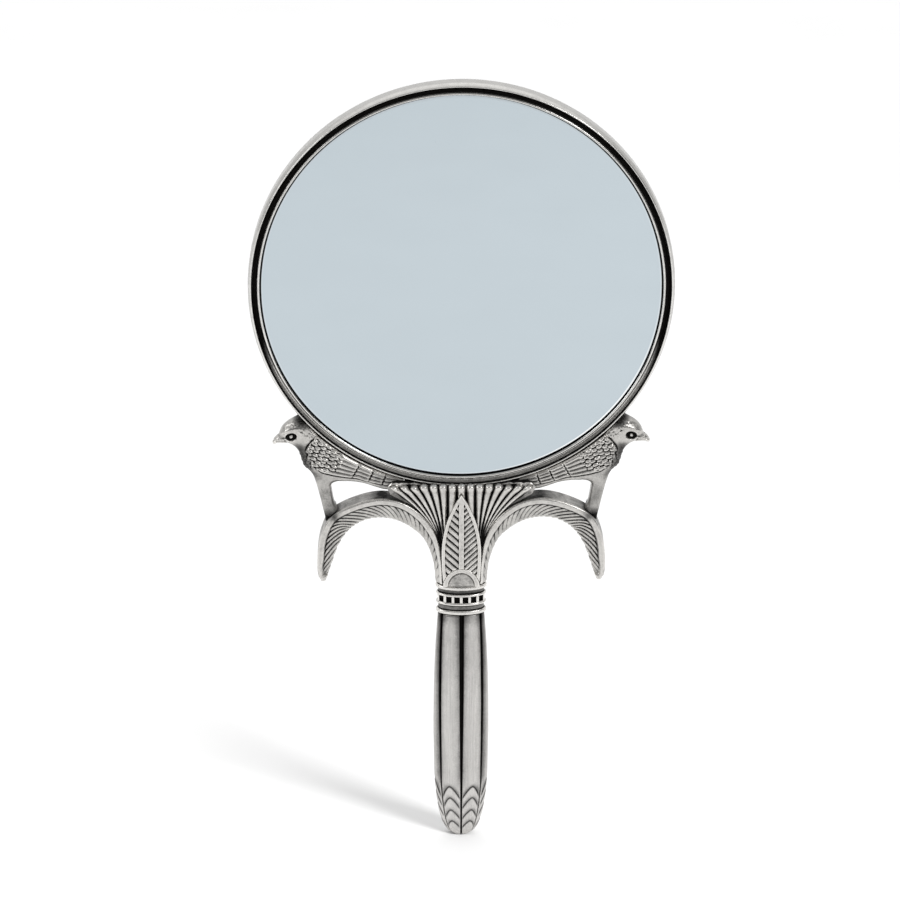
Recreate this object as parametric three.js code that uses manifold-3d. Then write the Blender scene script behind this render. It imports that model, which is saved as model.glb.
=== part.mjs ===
// Hand mirror: a round glass in a cast pan, carried by a fan capital, two arched fronds and
// two perched falcons, on a banded collar and a six-lobed handle.
// Millimetres. +Z runs up the handle to the head and the glass faces -Y.
// Heights below are measured up from the handle's end; the last line moves the origin to the grip.

import * as THREE from 'three';
import { mergeVertices } from 'three/addons/utils/BufferGeometryUtils.js';
import Module from 'manifold-3d';

const wasm = await Module();
wasm.setup();

// Driving dimensions
const FIT_GAP = 0.3; // between pieces that touch
const GRIP_Z = 41; // middle of the handle, where the hand closes
const HEAD_Z = 195.5; // centre of the round head
const HEAD_RADIUS = 68.2; // outside of the pan
const HEAD_SEGMENTS = 96;
const LIP_Y = -4.05; // front of the pan's lip
const BACK_Y = 5; // flat back of the pan
const GLASS_RADIUS = 65; // a 130 mm glass
const GLASS_Y = -2.6; // front of the glass
const GLASS_THICKNESS = 3;
const BEVEL_WIDTH = 1.5;
const BEVEL_DROP = 0.15;
const SIGHT_RADIUS = 64.6; // opening of the bezel, whose lip holds the glass by its edge
const CARD_THICKNESS = 0.6;
const FELT_THICKNESS = 0.7;
const LIP_WALL = 1.2; // thickness of the lip around the bezel
const SHOULDER_Y = -0.8; // ledge in the pan that the bezel sits on

const COLLAR_Z = 81.8;
const COLLAR_HEIGHT = 10;
const COLLAR_RADIUS = 8.3; // half width
const COLLAR_DEPTH_RATIO = 0.53; // half depth over half width
const COLLAR_RING_HEIGHT = 1.4;
const WINDOW_COUNT = 14;
const WINDOW_Z = 87.1; // middle height of the windows
const WINDOW_SIZE = 1.8;
const WINDOW_DEPTH = 0.9;

const HANDLE_TOP = COLLAR_Z - FIT_GAP;
const HANDLE_RADIUS = 9.2; // widest half width
const HANDLE_DEPTH_RATIO = 0.56;
const HANDLE_WIDEST_Z = 38;
const HANDLE_END_LENGTH = 22; // length of the rounded end
const SIDE_GROOVE_ANGLE = THREE.MathUtils.degToRad(33);
const GROOVE_DEPTH = 0.13; // of the local radius

const CAPITAL_Z = COLLAR_Z + COLLAR_HEIGHT + FIT_GAP;
const FLUTE_TOP_Z = 127.6;
const FLUTE_MEET_Z = 99; // height where the flutes run together
const FLUTES_PER_SIDE = 7;
const FLUTE_PITCH = 2.95;
const FLUTE_SIDES = 6;
const FLUTE_ROOT_Y = 0.8; // the flutes are buried in the core down to here
const FROND_FRONT_Y = -3.8;
const FROND_BACK_Y = 4.4;
const BIRD_FRONT_Y = -3.8;
const BIRD_BACK_Y = 4.3;
const LEAF_APEX_Z = 125.3;
const LEAF_BASE_Y = -3.75; // back of the leaf at its foot
const LEAF_HALF_WIDTH = 6.45;
const LEAF_THICKNESS = 1.3;
const LEAF_BORDER = 1.1; // width of the raised edge
const LEAF_FIELD_DEPTH = 0.45; // how far the ribbed field lies below that edge
const LEAF_LEAN = THREE.MathUtils.degToRad(1.7);
const RIB_COUNT = 12;
const RIB_PITCH = 2.05;

const TAIL_END_X = 18.6; // the falcons' tails stop here, above the outer flutes
const EYE_X = 55.1;
const EYE_Z = 144.6;
const EYE_RADIUS = 1.3;

const ARCH_RADIUS = 6; // half round boss at the leaf's foot
const ARCH_HEIGHT = 6.5;
const ARCH_BAND = 1.5;
const ARCH_THICKNESS = 1.2;
const BOSS_SIZE = [4.3, 1.1, 4.6]; // half sizes of the rounded boss inside the band

const STUD_RADIUS = 2;
const STUD_LENGTH = 44;
const STUD_Z = 64;
const DOWEL_RADIUS = 1;
const DOWEL_LENGTH = 6;
const DOWEL_Y = 1.2;
const HEAD_DOWEL_ANGLE = THREE.MathUtils.degToRad(7.55);
const BIRD_DOWEL_ANGLE = THREE.MathUtils.degToRad(41);

// Finishes
const pewter = () => new THREE.MeshStandardMaterial({ color: 0x9b9892, roughness: 0.42, metalness: 0.9 });
const polished = () => new THREE.MeshStandardMaterial({ color: 0xb4b1ab, roughness: 0.3, metalness: 0.95 });
const silvered = () => new THREE.MeshStandardMaterial({ color: 0xc4d0d7, roughness: 0.03, metalness: 1 });
const steel = () => new THREE.MeshStandardMaterial({ color: 0x8c8f93, roughness: 0.35, metalness: 1 });
const card = () => new THREE.MeshStandardMaterial({ color: 0x8a7355, roughness: 0.95, metalness: 0 });
const felt = () => new THREE.MeshStandardMaterial({ color: 0x2e2a28, roughness: 1, metalness: 0 });

const mirrorGroup = new THREE.Group();

function add(name, geometry, material, parent = mirrorGroup) {
  const mesh = new THREE.Mesh(geometry, material);
  mesh.name = name;
  parent.add(mesh);
  return mesh;
}

// A closed geometry as a solid that can be joined and cut.
function solid(geometry) {
  const bare = geometry.clone();
  bare.deleteAttribute('normal');
  bare.deleteAttribute('uv');
  const welded = mergeVertices(bare, 1e-4);
  const corners = welded.index.array;
  const kept = [];
  for (let i = 0; i < corners.length; i += 3) {
    const [a, b, c] = corners.slice(i, i + 3);
    if (a !== b && b !== c && c !== a) {
      kept.push(a, b, c);
    }
  }
  return new wasm.Manifold(
    new wasm.Mesh({
      numProp: 3,
      vertProperties: new Float32Array(welded.attributes.position.array),
      triVerts: new Uint32Array(kept),
    }),
  );
}

function geometryOf(body) {
  const mesh = body.getMesh();
  const geometry = new THREE.BufferGeometry();
  const points = new Float32Array(mesh.vertProperties);
  geometry.setAttribute('position', new THREE.BufferAttribute(points, 3));
  geometry.setIndex(new THREE.BufferAttribute(new Uint32Array(mesh.triVerts), 1));
  return geometry;
}

// Closed skin over matching closed loops of points, each end closed by a fan from its middle.
function loft(loops) {
  const around = loops[0].length;
  const middle = (loop) =>
    loop.reduce((sum, p) => sum.add(p), new THREE.Vector3()).divideScalar(around);
  const points = [...loops.flat(), middle(loops[0]), middle(loops.at(-1))];
  const first = points.length - 2;
  const last = points.length - 1;
  const index = [];
  for (let i = 0; i < around; i++) {
    const next = (i + 1) % around;
    index.push(first, next, i);
    for (let row = 0; row < loops.length - 1; row++) {
      const low = row * around;
      const high = low + around;
      index.push(low + i, low + next, high + next, low + i, high + next, high + i);
    }
    const top = (loops.length - 1) * around;
    index.push(last, top + i, top + next);
  }
  const geometry = new THREE.BufferGeometry();
  geometry.setAttribute('position', new THREE.Float32BufferAttribute(points.flatMap((p) => p.toArray()), 3));
  geometry.setIndex(index);
  return geometry;
}

// A solid turned about the head's Y axis; the profile runs anticlockwise in (radius, y).
function turned(profile, segments = HEAD_SEGMENTS) {
  return new THREE.LatheGeometry(
    profile.map(([r, y]) => new THREE.Vector2(r, y)),
    segments,
  );
}

// A plate standing in the XZ plane, cut from a shape, between two depths.
function plate(shape, frontY, backY, bevel = 0, curveSegments = 6) {
  const geometry = new THREE.ExtrudeGeometry(shape, {
    depth: backY - frontY - 2 * bevel,
    bevelEnabled: bevel > 0,
    bevelThickness: bevel,
    bevelSize: bevel,
    bevelOffset: -bevel,
    bevelSegments: 2,
    curveSegments,
  });
  geometry.rotateX(Math.PI / 2);
  geometry.translate(0, backY - bevel, 0);
  return geometry;
}

// A smooth closed outline through points.
function smoothShape(points, divisions) {
  const curve = new THREE.CatmullRomCurve3(
    points.map(([x, z]) => new THREE.Vector3(x, z, 0)),
    true,
    'centripetal',
  );
  return new THREE.Shape(curve.getPoints(divisions).slice(0, -1).map((p) => new THREE.Vector2(p.x, p.y)));
}

function box(width, depth, height, x, y, z) {
  return new THREE.BoxGeometry(width, depth, height).translate(x, y, z);
}

// A round bar from one point to another.
function bar(radius, from, to, segments = 12) {
  const axis = to.clone().sub(from);
  const geometry = new THREE.CylinderGeometry(radius, radius, axis.length(), segments);
  geometry.applyQuaternion(
    new THREE.Quaternion().setFromUnitVectors(new THREE.Vector3(0, 1, 0), axis.clone().normalize()),
  );
  return geometry.translate(...from.clone().add(to).multiplyScalar(0.5).toArray());
}

function mirrored(geometry) {
  const copy = mergeVertices(geometry).scale(-1, 1, 1);
  const index = copy.index.array;
  for (let i = 0; i < index.length; i += 3) {
    [index[i], index[i + 1]] = [index[i + 1], index[i]];
  }
  return copy;
}

// A dowel through a point, half in one casting and half in the next.
function dowel(name, x, y, z, directionX, directionZ) {
  const half = new THREE.Vector3(directionX, 0, directionZ).normalize().multiplyScalar(DOWEL_LENGTH / 2);
  const middle = new THREE.Vector3(x, y, z);
  return { name, from: middle.clone().sub(half), to: middle.clone().add(half), half };
}

// A dowel across the seam under the pan, at an angle from straight down at the head's centre.
function seamDowel(name, side, angle) {
  const reach = HEAD_RADIUS + FIT_GAP / 2;
  const outward = side * Math.sin(angle);
  const downward = -Math.cos(angle);
  return dowel(name, reach * outward, DOWEL_Y, HEAD_Z + reach * downward, outward, downward);
}

const dowels = [-1, 1].flatMap((side) => {
  const hand = side < 0 ? 'left' : 'right';
  return [
    seamDowel(`head_dowel_${hand}`, side, HEAD_DOWEL_ANGLE),
    seamDowel(`bird_dowel_${hand}`, side, BIRD_DOWEL_ANGLE),
    dowel(`foot_dowel_${hand}`, side * 42.3, DOWEL_Y, 117.6, side * 0.2, -1),
    dowel(`frond_dowel_${hand}`, side * 9.6, DOWEL_Y, 113.0, side * 1, -0.62),
  ];
});

function drillDowels(body) {
  return dowels.reduce((cut, { from, to, half }) => {
    const spare = half.clone().normalize().multiplyScalar(FIT_GAP);
    const hole = bar(DOWEL_RADIUS + FIT_GAP, from.clone().sub(spare), to.clone().add(spare));
    return cut.subtract(solid(hole));
  }, body);
}

// The space the pan takes, with its fitting gap, in the frame of the whole object.
const panSpace = solid(
  new THREE.CylinderGeometry(
    HEAD_RADIUS + FIT_GAP,
    HEAD_RADIUS + FIT_GAP,
    BACK_Y - LIP_Y + 6,
    HEAD_SEGMENTS,
  ).translate(0, (LIP_Y - FIT_GAP + BACK_Y + 6) / 2, HEAD_Z),
);

// Head
function buildHead() {
  const pocketRadius = GLASS_RADIUS + FIT_GAP;
  const glassBack = GLASS_Y + GLASS_THICKNESS;
  const cardFront = glassBack + FIT_GAP;
  const feltFront = cardFront + CARD_THICKNESS + FIT_GAP;
  const floorY = feltFront + FELT_THICKNESS + FIT_GAP;
  const innerLip = HEAD_RADIUS - LIP_WALL;

  const pan = turned([
    [0, floorY],
    [pocketRadius, floorY],
    [pocketRadius, SHOULDER_Y],
    [innerLip, SHOULDER_Y],
    [innerLip, LIP_Y + 0.35],
    [innerLip + 0.35, LIP_Y],
    [HEAD_RADIUS - 0.35, LIP_Y],
    [HEAD_RADIUS, LIP_Y + 0.4],
    [HEAD_RADIUS, 1.9],
    [HEAD_RADIUS - 0.8, 3.6],
    [HEAD_RADIUS - 2.4, 4.7],
    [HEAD_RADIUS - 4.4, BACK_Y],
    [0, BACK_Y],
  ]);
  pan.translate(0, 0, HEAD_Z);
  add('head_shell', geometryOf(drillDowels(solid(pan))), pewter());

  const outer = innerLip - FIT_GAP;
  const ledge = SHOULDER_Y - FIT_GAP;
  const bevelShare = (SIGHT_RADIUS - GLASS_RADIUS + BEVEL_WIDTH) / BEVEL_WIDTH;
  const lipBack = GLASS_Y + BEVEL_DROP * bevelShare - FIT_GAP;
  const bezel = turned([
    [pocketRadius, ledge],
    [pocketRadius, lipBack],
    [SIGHT_RADIUS, lipBack],
    [SIGHT_RADIUS, -3.7],
    [SIGHT_RADIUS + 0.12, -4.05],
    [SIGHT_RADIUS + 0.4, -4.15],
    [SIGHT_RADIUS + 0.75, -3.95],
    [SIGHT_RADIUS + 0.95, -3.3],
    [SIGHT_RADIUS + 1.25, -2.75],
    [outer - 0.5, -2.75],
    [outer, -3.3],
    [outer, ledge],
    [pocketRadius, ledge],
  ]);
  add('bezel_ring', bezel, polished()).position.z = HEAD_Z;

  const glass = turned([
    [0, GLASS_Y],
    [GLASS_RADIUS - BEVEL_WIDTH, GLASS_Y],
    [GLASS_RADIUS, GLASS_Y + BEVEL_DROP],
    [GLASS_RADIUS, glassBack],
    [0, glassBack],
  ]);
  add('mirror_glass', glass, silvered()).position.z = HEAD_Z;

  const disc = (front, thickness, radius) =>
    new THREE.CylinderGeometry(radius, radius, thickness, 48).translate(0, front + thickness / 2, 0);
  add('backing_card', disc(cardFront, CARD_THICKNESS, GLASS_RADIUS - 0.5), card()).position.z = HEAD_Z;
  add('felt_pad', disc(feltFront, FELT_THICKNESS, GLASS_RADIUS - 1.5), felt()).position.z = HEAD_Z;
}

// Handle: a flattened bar of six lobes with a rounded end.
function handleHalfWidth(z) {
  const above = 1.5 * (Math.max(0, z - HANDLE_WIDEST_Z) / 43) ** 2.4;
  const below = 0.3 * (Math.max(0, HANDLE_WIDEST_Z - z) / 16);
  const toEnd = Math.max(0, HANDLE_END_LENGTH - z) / HANDLE_END_LENGTH;
  return (HANDLE_RADIUS - above - below) * (1 - toEnd ** 1.6) ** 0.25;
}

// The section is flat along the grip and rounder at the blunt end.
function handleDepthRatio(z) {
  return HANDLE_DEPTH_RATIO + 0.3 * Math.exp(-z / 2.2);
}

function handleLoop(z) {
  const grooves = [
    -Math.PI / 2,
    -SIDE_GROOVE_ANGLE,
    SIDE_GROOVE_ANGLE,
    Math.PI / 2,
    Math.PI - SIDE_GROOVE_ANGLE,
    Math.PI + SIDE_GROOVE_ANGLE,
    1.5 * Math.PI,
  ];
  const half = Math.max(0.4, handleHalfWidth(z));
  const steps = 5;
  const loop = [];
  for (let lobe = 0; lobe < grooves.length - 1; lobe++) {
    for (let step = 0; step < steps; step++) {
      const along = step / steps;
      const angle = THREE.MathUtils.lerp(grooves[lobe], grooves[lobe + 1], along);
      const radius = half * (1 - GROOVE_DEPTH * (1 - Math.sin(Math.PI * along) ** 0.5));
      loop.push(
        new THREE.Vector3(radius * Math.cos(angle), radius * handleDepthRatio(z) * Math.sin(angle), z),
      );
    }
  }
  return loop;
}

function buildHandle() {
  const heights = [0, 0.02, 0.2, 0.7, 1.8, 3.6, 6.5, 11, 16, 22, 38, 50, 60, 70, 77, HANDLE_TOP];
  const body = solid(loft(heights.map(handleLoop)));
  const bore = bar(
    STUD_RADIUS + FIT_GAP,
    new THREE.Vector3(0, 0, STUD_Z - FIT_GAP),
    new THREE.Vector3(0, 0, HANDLE_TOP + 1),
    16,
  );
  add('handle', geometryOf(body.subtract(solid(bore))), polished());
}

// Collar: a sleeve with a row of windows between two plain rings, all bored for the stud.
function ovalLoop(halfWidth, z, count = 36) {
  return Array.from({ length: count }, (_, i) => {
    const angle = (2 * Math.PI * i) / count;
    return new THREE.Vector3(
      halfWidth * Math.cos(angle),
      (COLLAR_DEPTH_RATIO * COLLAR_RADIUS + halfWidth - COLLAR_RADIUS) * Math.sin(angle),
      z,
    );
  });
}

const studBore = solid(
  bar(
    STUD_RADIUS + FIT_GAP,
    new THREE.Vector3(0, 0, STUD_Z),
    new THREE.Vector3(0, 0, STUD_Z + STUD_LENGTH + FIT_GAP),
    16,
  ),
);

function buildCollar() {
  const ring = (z) => {
    const top = z + COLLAR_RING_HEIGHT;
    return loft([
      ovalLoop(COLLAR_RADIUS - 0.4, z),
      ovalLoop(COLLAR_RADIUS, z + 0.35),
      ovalLoop(COLLAR_RADIUS, top - 0.35),
      ovalLoop(COLLAR_RADIUS - 0.4, top),
    ]);
  };
  const topRingZ = COLLAR_Z + COLLAR_HEIGHT - COLLAR_RING_HEIGHT;
  add('collar_bottom_ring', geometryOf(solid(ring(COLLAR_Z)).subtract(studBore)), pewter());
  add('collar_top_ring', geometryOf(solid(ring(topRingZ)).subtract(studBore)), pewter());

  const sleeveBottom = COLLAR_Z + COLLAR_RING_HEIGHT + FIT_GAP;
  const sleeveTop = topRingZ - FIT_GAP;
  const recess = COLLAR_RADIUS - 0.75;
  const bead = COLLAR_RADIUS - 0.05;
  const band = COLLAR_RADIUS - 0.3;
  const steps = [
    [recess, sleeveBottom],
    [recess, WINDOW_Z - 2],
    [bead, WINDOW_Z - 1.95],
    [bead, WINDOW_Z - 1.2],
    [band, WINDOW_Z - 1.15],
    [band, WINDOW_Z + 1.15],
    [bead, WINDOW_Z + 1.2],
    [bead, WINDOW_Z + 1.95],
    [recess, WINDOW_Z + 2],
    [recess, sleeveTop],
  ];
  let sleeve = solid(loft(steps.map(([halfWidth, z]) => ovalLoop(halfWidth, z)))).subtract(studBore);
  const bandDepth = COLLAR_DEPTH_RATIO * COLLAR_RADIUS - 0.3;
  const wall = new THREE.EllipseCurve(0, 0, band, bandDepth, -Math.PI / 2, 1.5 * Math.PI);
  for (let i = 0; i < WINDOW_COUNT; i++) {
    const share = (i + 0.5) / WINDOW_COUNT;
    const spot = wall.getPointAt(share);
    const along = wall.getTangentAt(share);
    const window = box(WINDOW_SIZE, 2 * WINDOW_DEPTH, WINDOW_SIZE, 0, 0, 0);
    window.rotateZ(Math.atan2(along.y, along.x)).translate(spot.x, spot.y, WINDOW_Z);
    sleeve = sleeve.subtract(solid(window));
  }
  add('collar_sleeve', geometryOf(sleeve), pewter());
}

// Fan capital: a spreading core with flutes back and front whose knobs curl over the pan's lip.
function fluteX(k, z) {
  const up = THREE.MathUtils.clamp((z - FLUTE_MEET_Z) / (FLUTE_TOP_Z - FLUTE_MEET_Z), 0, 1);
  const topX = k * FLUTE_PITCH + Math.sign(k) * 0.018 * Math.abs(k) ** 2.2;
  const footX = Math.sign(k) * Math.min(Math.abs(topX), 4.6 + 0.2 * Math.abs(k));
  return THREE.MathUtils.lerp(footX, topX, up ** (1.25 + 0.13 * Math.abs(k)));
}

function flute(k, side) {
  const heights = [CAPITAL_Z + 3, 110, 118, 125.5, FLUTE_TOP_Z + 0.8];
  const rounding = [1, 1, 1, 1, 0.5];
  return loft(
    heights.map((z, row) => {
      const width = Math.abs(fluteX(Math.abs(k) + 0.5, z) - fluteX(Math.abs(k) - 0.5, z)) / 2;
      const radius = Math.max(0.25, width * 0.98) * rounding[row];
      const up = THREE.MathUtils.clamp((z - FLUTE_MEET_Z) / (FLUTE_TOP_Z - FLUTE_MEET_Z), 0, 1);
      const reach = side < 0 ? 2.3 + 2.6 * up ** 2 : 2.3 + 1.3 * up ** 2;
      const proud = Math.min(radius, 1.15 * rounding[row]);
      return Array.from({ length: FLUTE_SIDES }, (_, i) => {
        const angle = (2 * Math.PI * i) / FLUTE_SIDES;
        const outward = side * Math.sin(angle) > -0.1;
        return new THREE.Vector3(
          fluteX(k, z) + radius * Math.cos(angle),
          outward ? side * reach + proud * Math.sin(angle) : side * FLUTE_ROOT_Y,
          z,
        );
      });
    }),
  );
}

function capitalCore() {
  const rows = [
    [CAPITAL_Z, 5.4, 3.3],
    [98, 5.4, 3.2],
    [104, 5.7, 2.9],
    [109, 7, 3.1],
    [113.5, 9.1, 3.1],
    [117, 11.9, 3.2],
    [119.5, 15, 3.5],
    [122, 19.2, 3.8],
    [124.5, 23.2, 4.1],
    [127.4, 24.6, 4.3],
  ];
  return loft(
    rows.map(([z, halfWidth, halfDepth]) => [
      new THREE.Vector3(-halfWidth, -halfDepth * 0.8, z),
      new THREE.Vector3(-halfWidth * 0.7, -halfDepth, z),
      new THREE.Vector3(halfWidth * 0.7, -halfDepth, z),
      new THREE.Vector3(halfWidth, -halfDepth * 0.8, z),
      new THREE.Vector3(halfWidth, halfDepth * 0.8, z),
      new THREE.Vector3(halfWidth * 0.7, halfDepth, z),
      new THREE.Vector3(-halfWidth * 0.7, halfDepth, z),
      new THREE.Vector3(-halfWidth, halfDepth * 0.8, z),
    ]),
  );
}

// The leaf's outline, drawn in from its edge by an inset.
function leafShape(inset) {
  const half = LEAF_HALF_WIDTH - inset;
  const apex = LEAF_APEX_Z - 2.1 * inset;
  const foot = CAPITAL_Z + 0.4 + inset;
  const shape = new THREE.Shape();
  shape.moveTo(0, apex);
  shape.bezierCurveTo(-half * 0.5, apex - 5, -half, apex - 12, -half, 104);
  shape.bezierCurveTo(-half, 100, -half * 0.97, 96, -half * 0.88, foot);
  shape.lineTo(half * 0.88, foot);
  shape.bezierCurveTo(half * 0.97, 96, half, 100, half, 104);
  shape.bezierCurveTo(half, apex - 12, half * 0.5, apex - 5, 0, apex);
  return shape;
}

// A half round outline standing on the capital's foot.
function archShape(halfWidth, height) {
  const shape = new THREE.Shape();
  const foot = CAPITAL_Z + 0.2;
  shape.moveTo(-halfWidth, foot);
  shape.lineTo(halfWidth, foot);
  shape.absellipse(0, foot, halfWidth, height, 0, Math.PI, false, 0);
  return shape;
}

function leafGeometry() {
  const front = LEAF_BASE_Y - LEAF_THICKNESS;
  const field = front + LEAF_FIELD_DEPTH;
  let leaf = solid(plate(leafShape(0), front, LEAF_BASE_Y));
  leaf = leaf.subtract(solid(plate(leafShape(LEAF_BORDER), front - 1, field)));
  let ribs = solid(box(1.7, 0.8, 40, 0, front + 0.5, 108));
  for (let i = 0; i < RIB_COUNT; i++) {
    for (const side of [-1, 1]) {
      const rib = box(12, 0.6, 0.75, side * 6, 0, 0).rotateY(side * THREE.MathUtils.degToRad(-45));
      rib.translate(0, field, 93 + RIB_PITCH * i);
      ribs = ribs.add(solid(rib));
    }
  }
  leaf = leaf.add(ribs.intersect(solid(plate(leafShape(LEAF_BORDER - 0.1), front, field + 0.4))));
  const domeSpace = archShape(ARCH_RADIUS + FIT_GAP, ARCH_HEIGHT + FIT_GAP);
  leaf = leaf.subtract(solid(plate(domeSpace, front - 2, LEAF_BASE_Y + 1, 0, 10)));
  const geometry = geometryOf(leaf);
  geometry.translate(0, 0, -CAPITAL_Z).rotateX(LEAF_LEAN).translate(0, 0, CAPITAL_Z);
  return geometry;
}

function domeGeometry() {
  const front = LEAF_BASE_Y - ARCH_THICKNESS;
  const foot = CAPITAL_Z + 0.2;
  const hollow = archShape(ARCH_RADIUS - ARCH_BAND, ARCH_HEIGHT - ARCH_BAND);
  const arch = solid(plate(archShape(ARCH_RADIUS, ARCH_HEIGHT), front, LEAF_BASE_Y, 0, 10));
  const band = arch.subtract(solid(plate(hollow, front - 1, front + 0.5, 0, 10)));
  const ball = new THREE.SphereGeometry(1, 16, 10).scale(...BOSS_SIZE).translate(0, front + 0.8, foot);
  const above = box(12, 4, 6, 0, front + 0.3, foot + 3);
  const behind = box(12, 4, 12, 0, LEAF_BASE_Y + 1.6, foot);
  const boss = solid(ball).intersect(solid(above)).subtract(solid(behind));
  return geometryOf(band.add(boss));
}

// The space over the outer flutes that a falcon's tail fills, on both sides.
function tailSpace() {
  const near = TAIL_END_X - FIT_GAP;
  const under = new THREE.Shape([
    new THREE.Vector2(near, 125.6),
    new THREE.Vector2(22, 124.8),
    new THREE.Vector2(27, 124.8),
    new THREE.Vector2(31, 140),
    new THREE.Vector2(near, 140),
  ]);
  const right = plate(under, -9, 9);
  return solid(right).add(solid(mirrored(right)));
}

function buildCapital() {
  let capital = solid(capitalCore());
  for (let k = -FLUTES_PER_SIDE; k <= FLUTES_PER_SIDE; k++) {
    capital = capital.add(solid(flute(k, -1))).add(solid(flute(k, 1)));
  }
  const underLeaf = box(14, 10, 40, 0, -5, 20).rotateX(LEAF_LEAN);
  underLeaf.translate(0, LEAF_BASE_Y + FIT_GAP, CAPITAL_Z);
  const overCollar = box(60, 20, 10, 0, 0, CAPITAL_Z - 5);
  capital = capital.subtract(solid(overCollar)).subtract(panSpace).subtract(studBore);
  for (const turn of [0, Math.PI]) {
    capital = capital.subtract(solid(underLeaf.clone().rotateZ(turn)).intersect(leafSpace(turn)));
  }
  capital = capital.subtract(frondSpace()).subtract(tailSpace());
  add('fan_capital', geometryOf(drillDowels(capital)), pewter());
  for (const [hand, turn] of [['front', 0], ['rear', Math.PI]]) {
    add(`leaf_${hand}`, leafGeometry().rotateZ(turn), pewter());
    add(`dome_${hand}`, domeGeometry().rotateZ(turn), polished());
  }
}

// The column of space in front of the capital that the leaf and dome fill.
function leafSpace(turn) {
  const column = plate(leafShape(-FIT_GAP), -12, LEAF_BASE_Y + 2);
  return solid(column.rotateZ(turn));
}

// Fronds: an arch between an outer and an inner curve, thick along the outer edge.
const FROND_OUTER = [
  [-5.95, 92.2],
  [-6.2, 100],
  [-8, 109.5],
  [-12, 116.4],
  [-18.5, 121.5],
  [-26, 123.2],
  [-35, 121.2],
  [-42.6, 116.8],
  [-46, 110],
  [-47.2, 100],
  [-46.8, 95.2],
  [-46.0, 93.2],
];
const FROND_INNER = [
  [-8.4, 92.2],
  [-9.3, 100],
  [-12.3, 107.9],
  [-16.3, 111.8],
  [-20.9, 114.4],
  [-26, 115.4],
  [-31.4, 114.6],
  [-36.3, 111.5],
  [-39.8, 106.5],
  [-42.3, 99.6],
  [-43.6, 95.4],
  [-44.6, 93.2],
];

function frondLoops(grow, stations = 34) {
  const curve = (points) =>
    new THREE.CatmullRomCurve3(points.map(([x, z]) => new THREE.Vector3(x, 0, z)), false, 'centripetal');
  const outer = curve(FROND_OUTER);
  const inner = curve(FROND_INNER);
  return Array.from({ length: stations + 1 }, (_, i) => {
    const t = i / stations;
    const edge = outer.getPoint(t);
    const across = inner.getPoint(t).sub(edge);
    const foot = 1 - THREE.MathUtils.smoothstep(t, 0.08, 0.2);
    const tip = THREE.MathUtils.smoothstep(t, 0.9, 1);
    const taper = 1 - 0.2 * foot - 0.35 * tip;
    const at = (share, y) => {
      const middle = (FROND_FRONT_Y + FROND_BACK_Y) / 2;
      const grown = share < 0.5 ? -grow : grow;
      const point = edge.clone().addScaledVector(across, share);
      point.addScaledVector(across.clone().normalize(), grown);
      point.y = middle + (y - middle) * taper + Math.sign(y - middle) * grow;
      return point;
    };
    return [
      at(0, FROND_BACK_Y - 0.5),
      at(0.1, FROND_BACK_Y),
      at(0.38, FROND_BACK_Y - 0.1),
      at(0.46, FROND_BACK_Y - 1),
      at(1, 1.4),
      at(1, -0.8),
      at(0.46, FROND_FRONT_Y + 1),
      at(0.38, FROND_FRONT_Y + 0.1),
      at(0.1, FROND_FRONT_Y),
      at(0, FROND_FRONT_Y + 0.5),
    ];
  });
}

function frondSpace() {
  const left = loft(frondLoops(FIT_GAP));
  return solid(left).add(solid(mirrored(left)));
}

// Falcons: body, head, leg and tail in one casting, with a raised wing on each face.
const BIRD_OUTLINE = [
  [-51.5, 152.6],
  [-54.4, 151.2],
  [-56.9, 149.3],
  [-58.4, 147.2],
  [-58.9, 145.4],
  [-60.6, 143.6],
  [-60.9, 142.3],
  [-59, 142.1],
  [-56.2, 142],
  [-53.9, 141.1],
  [-52.2, 139.2],
  [-51.1, 136.4],
  [-49.6, 133.6],
  [-48, 131.8],
  [-46.8, 128.6],
  [-45.6, 124],
  [-44.6, 119.5],
  [-44, 116],
  [-40.2, 118.2],
  [-41.2, 121.2],
  [-42, 126.4],
  [-41.4, 128.4],
  [-38.4, 129],
  [-33.4, 128.6],
  [-28.4, 127],
  [-24, 125.6],
  [-18.6, 126.6],
  [-30, 140],
];
// Half thickness of the falcon at stations from the beak to the tail's end.
const BIRD_THICKNESS = [
  [-62, 0.8],
  [-59.6, 1.8],
  [-57, 3],
  [-52, 3.5],
  [-46, 3.6],
  [-34, 3.5],
  [-18, 2.9],
];
const WING_OUTLINE = [
  [-44.2, 143],
  [-48.6, 141.6],
  [-49.2, 138],
  [-47.4, 134.2],
  [-42.6, 131.8],
  [-36, 131.4],
  [-30, 130],
  [-36, 136],
];

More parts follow.
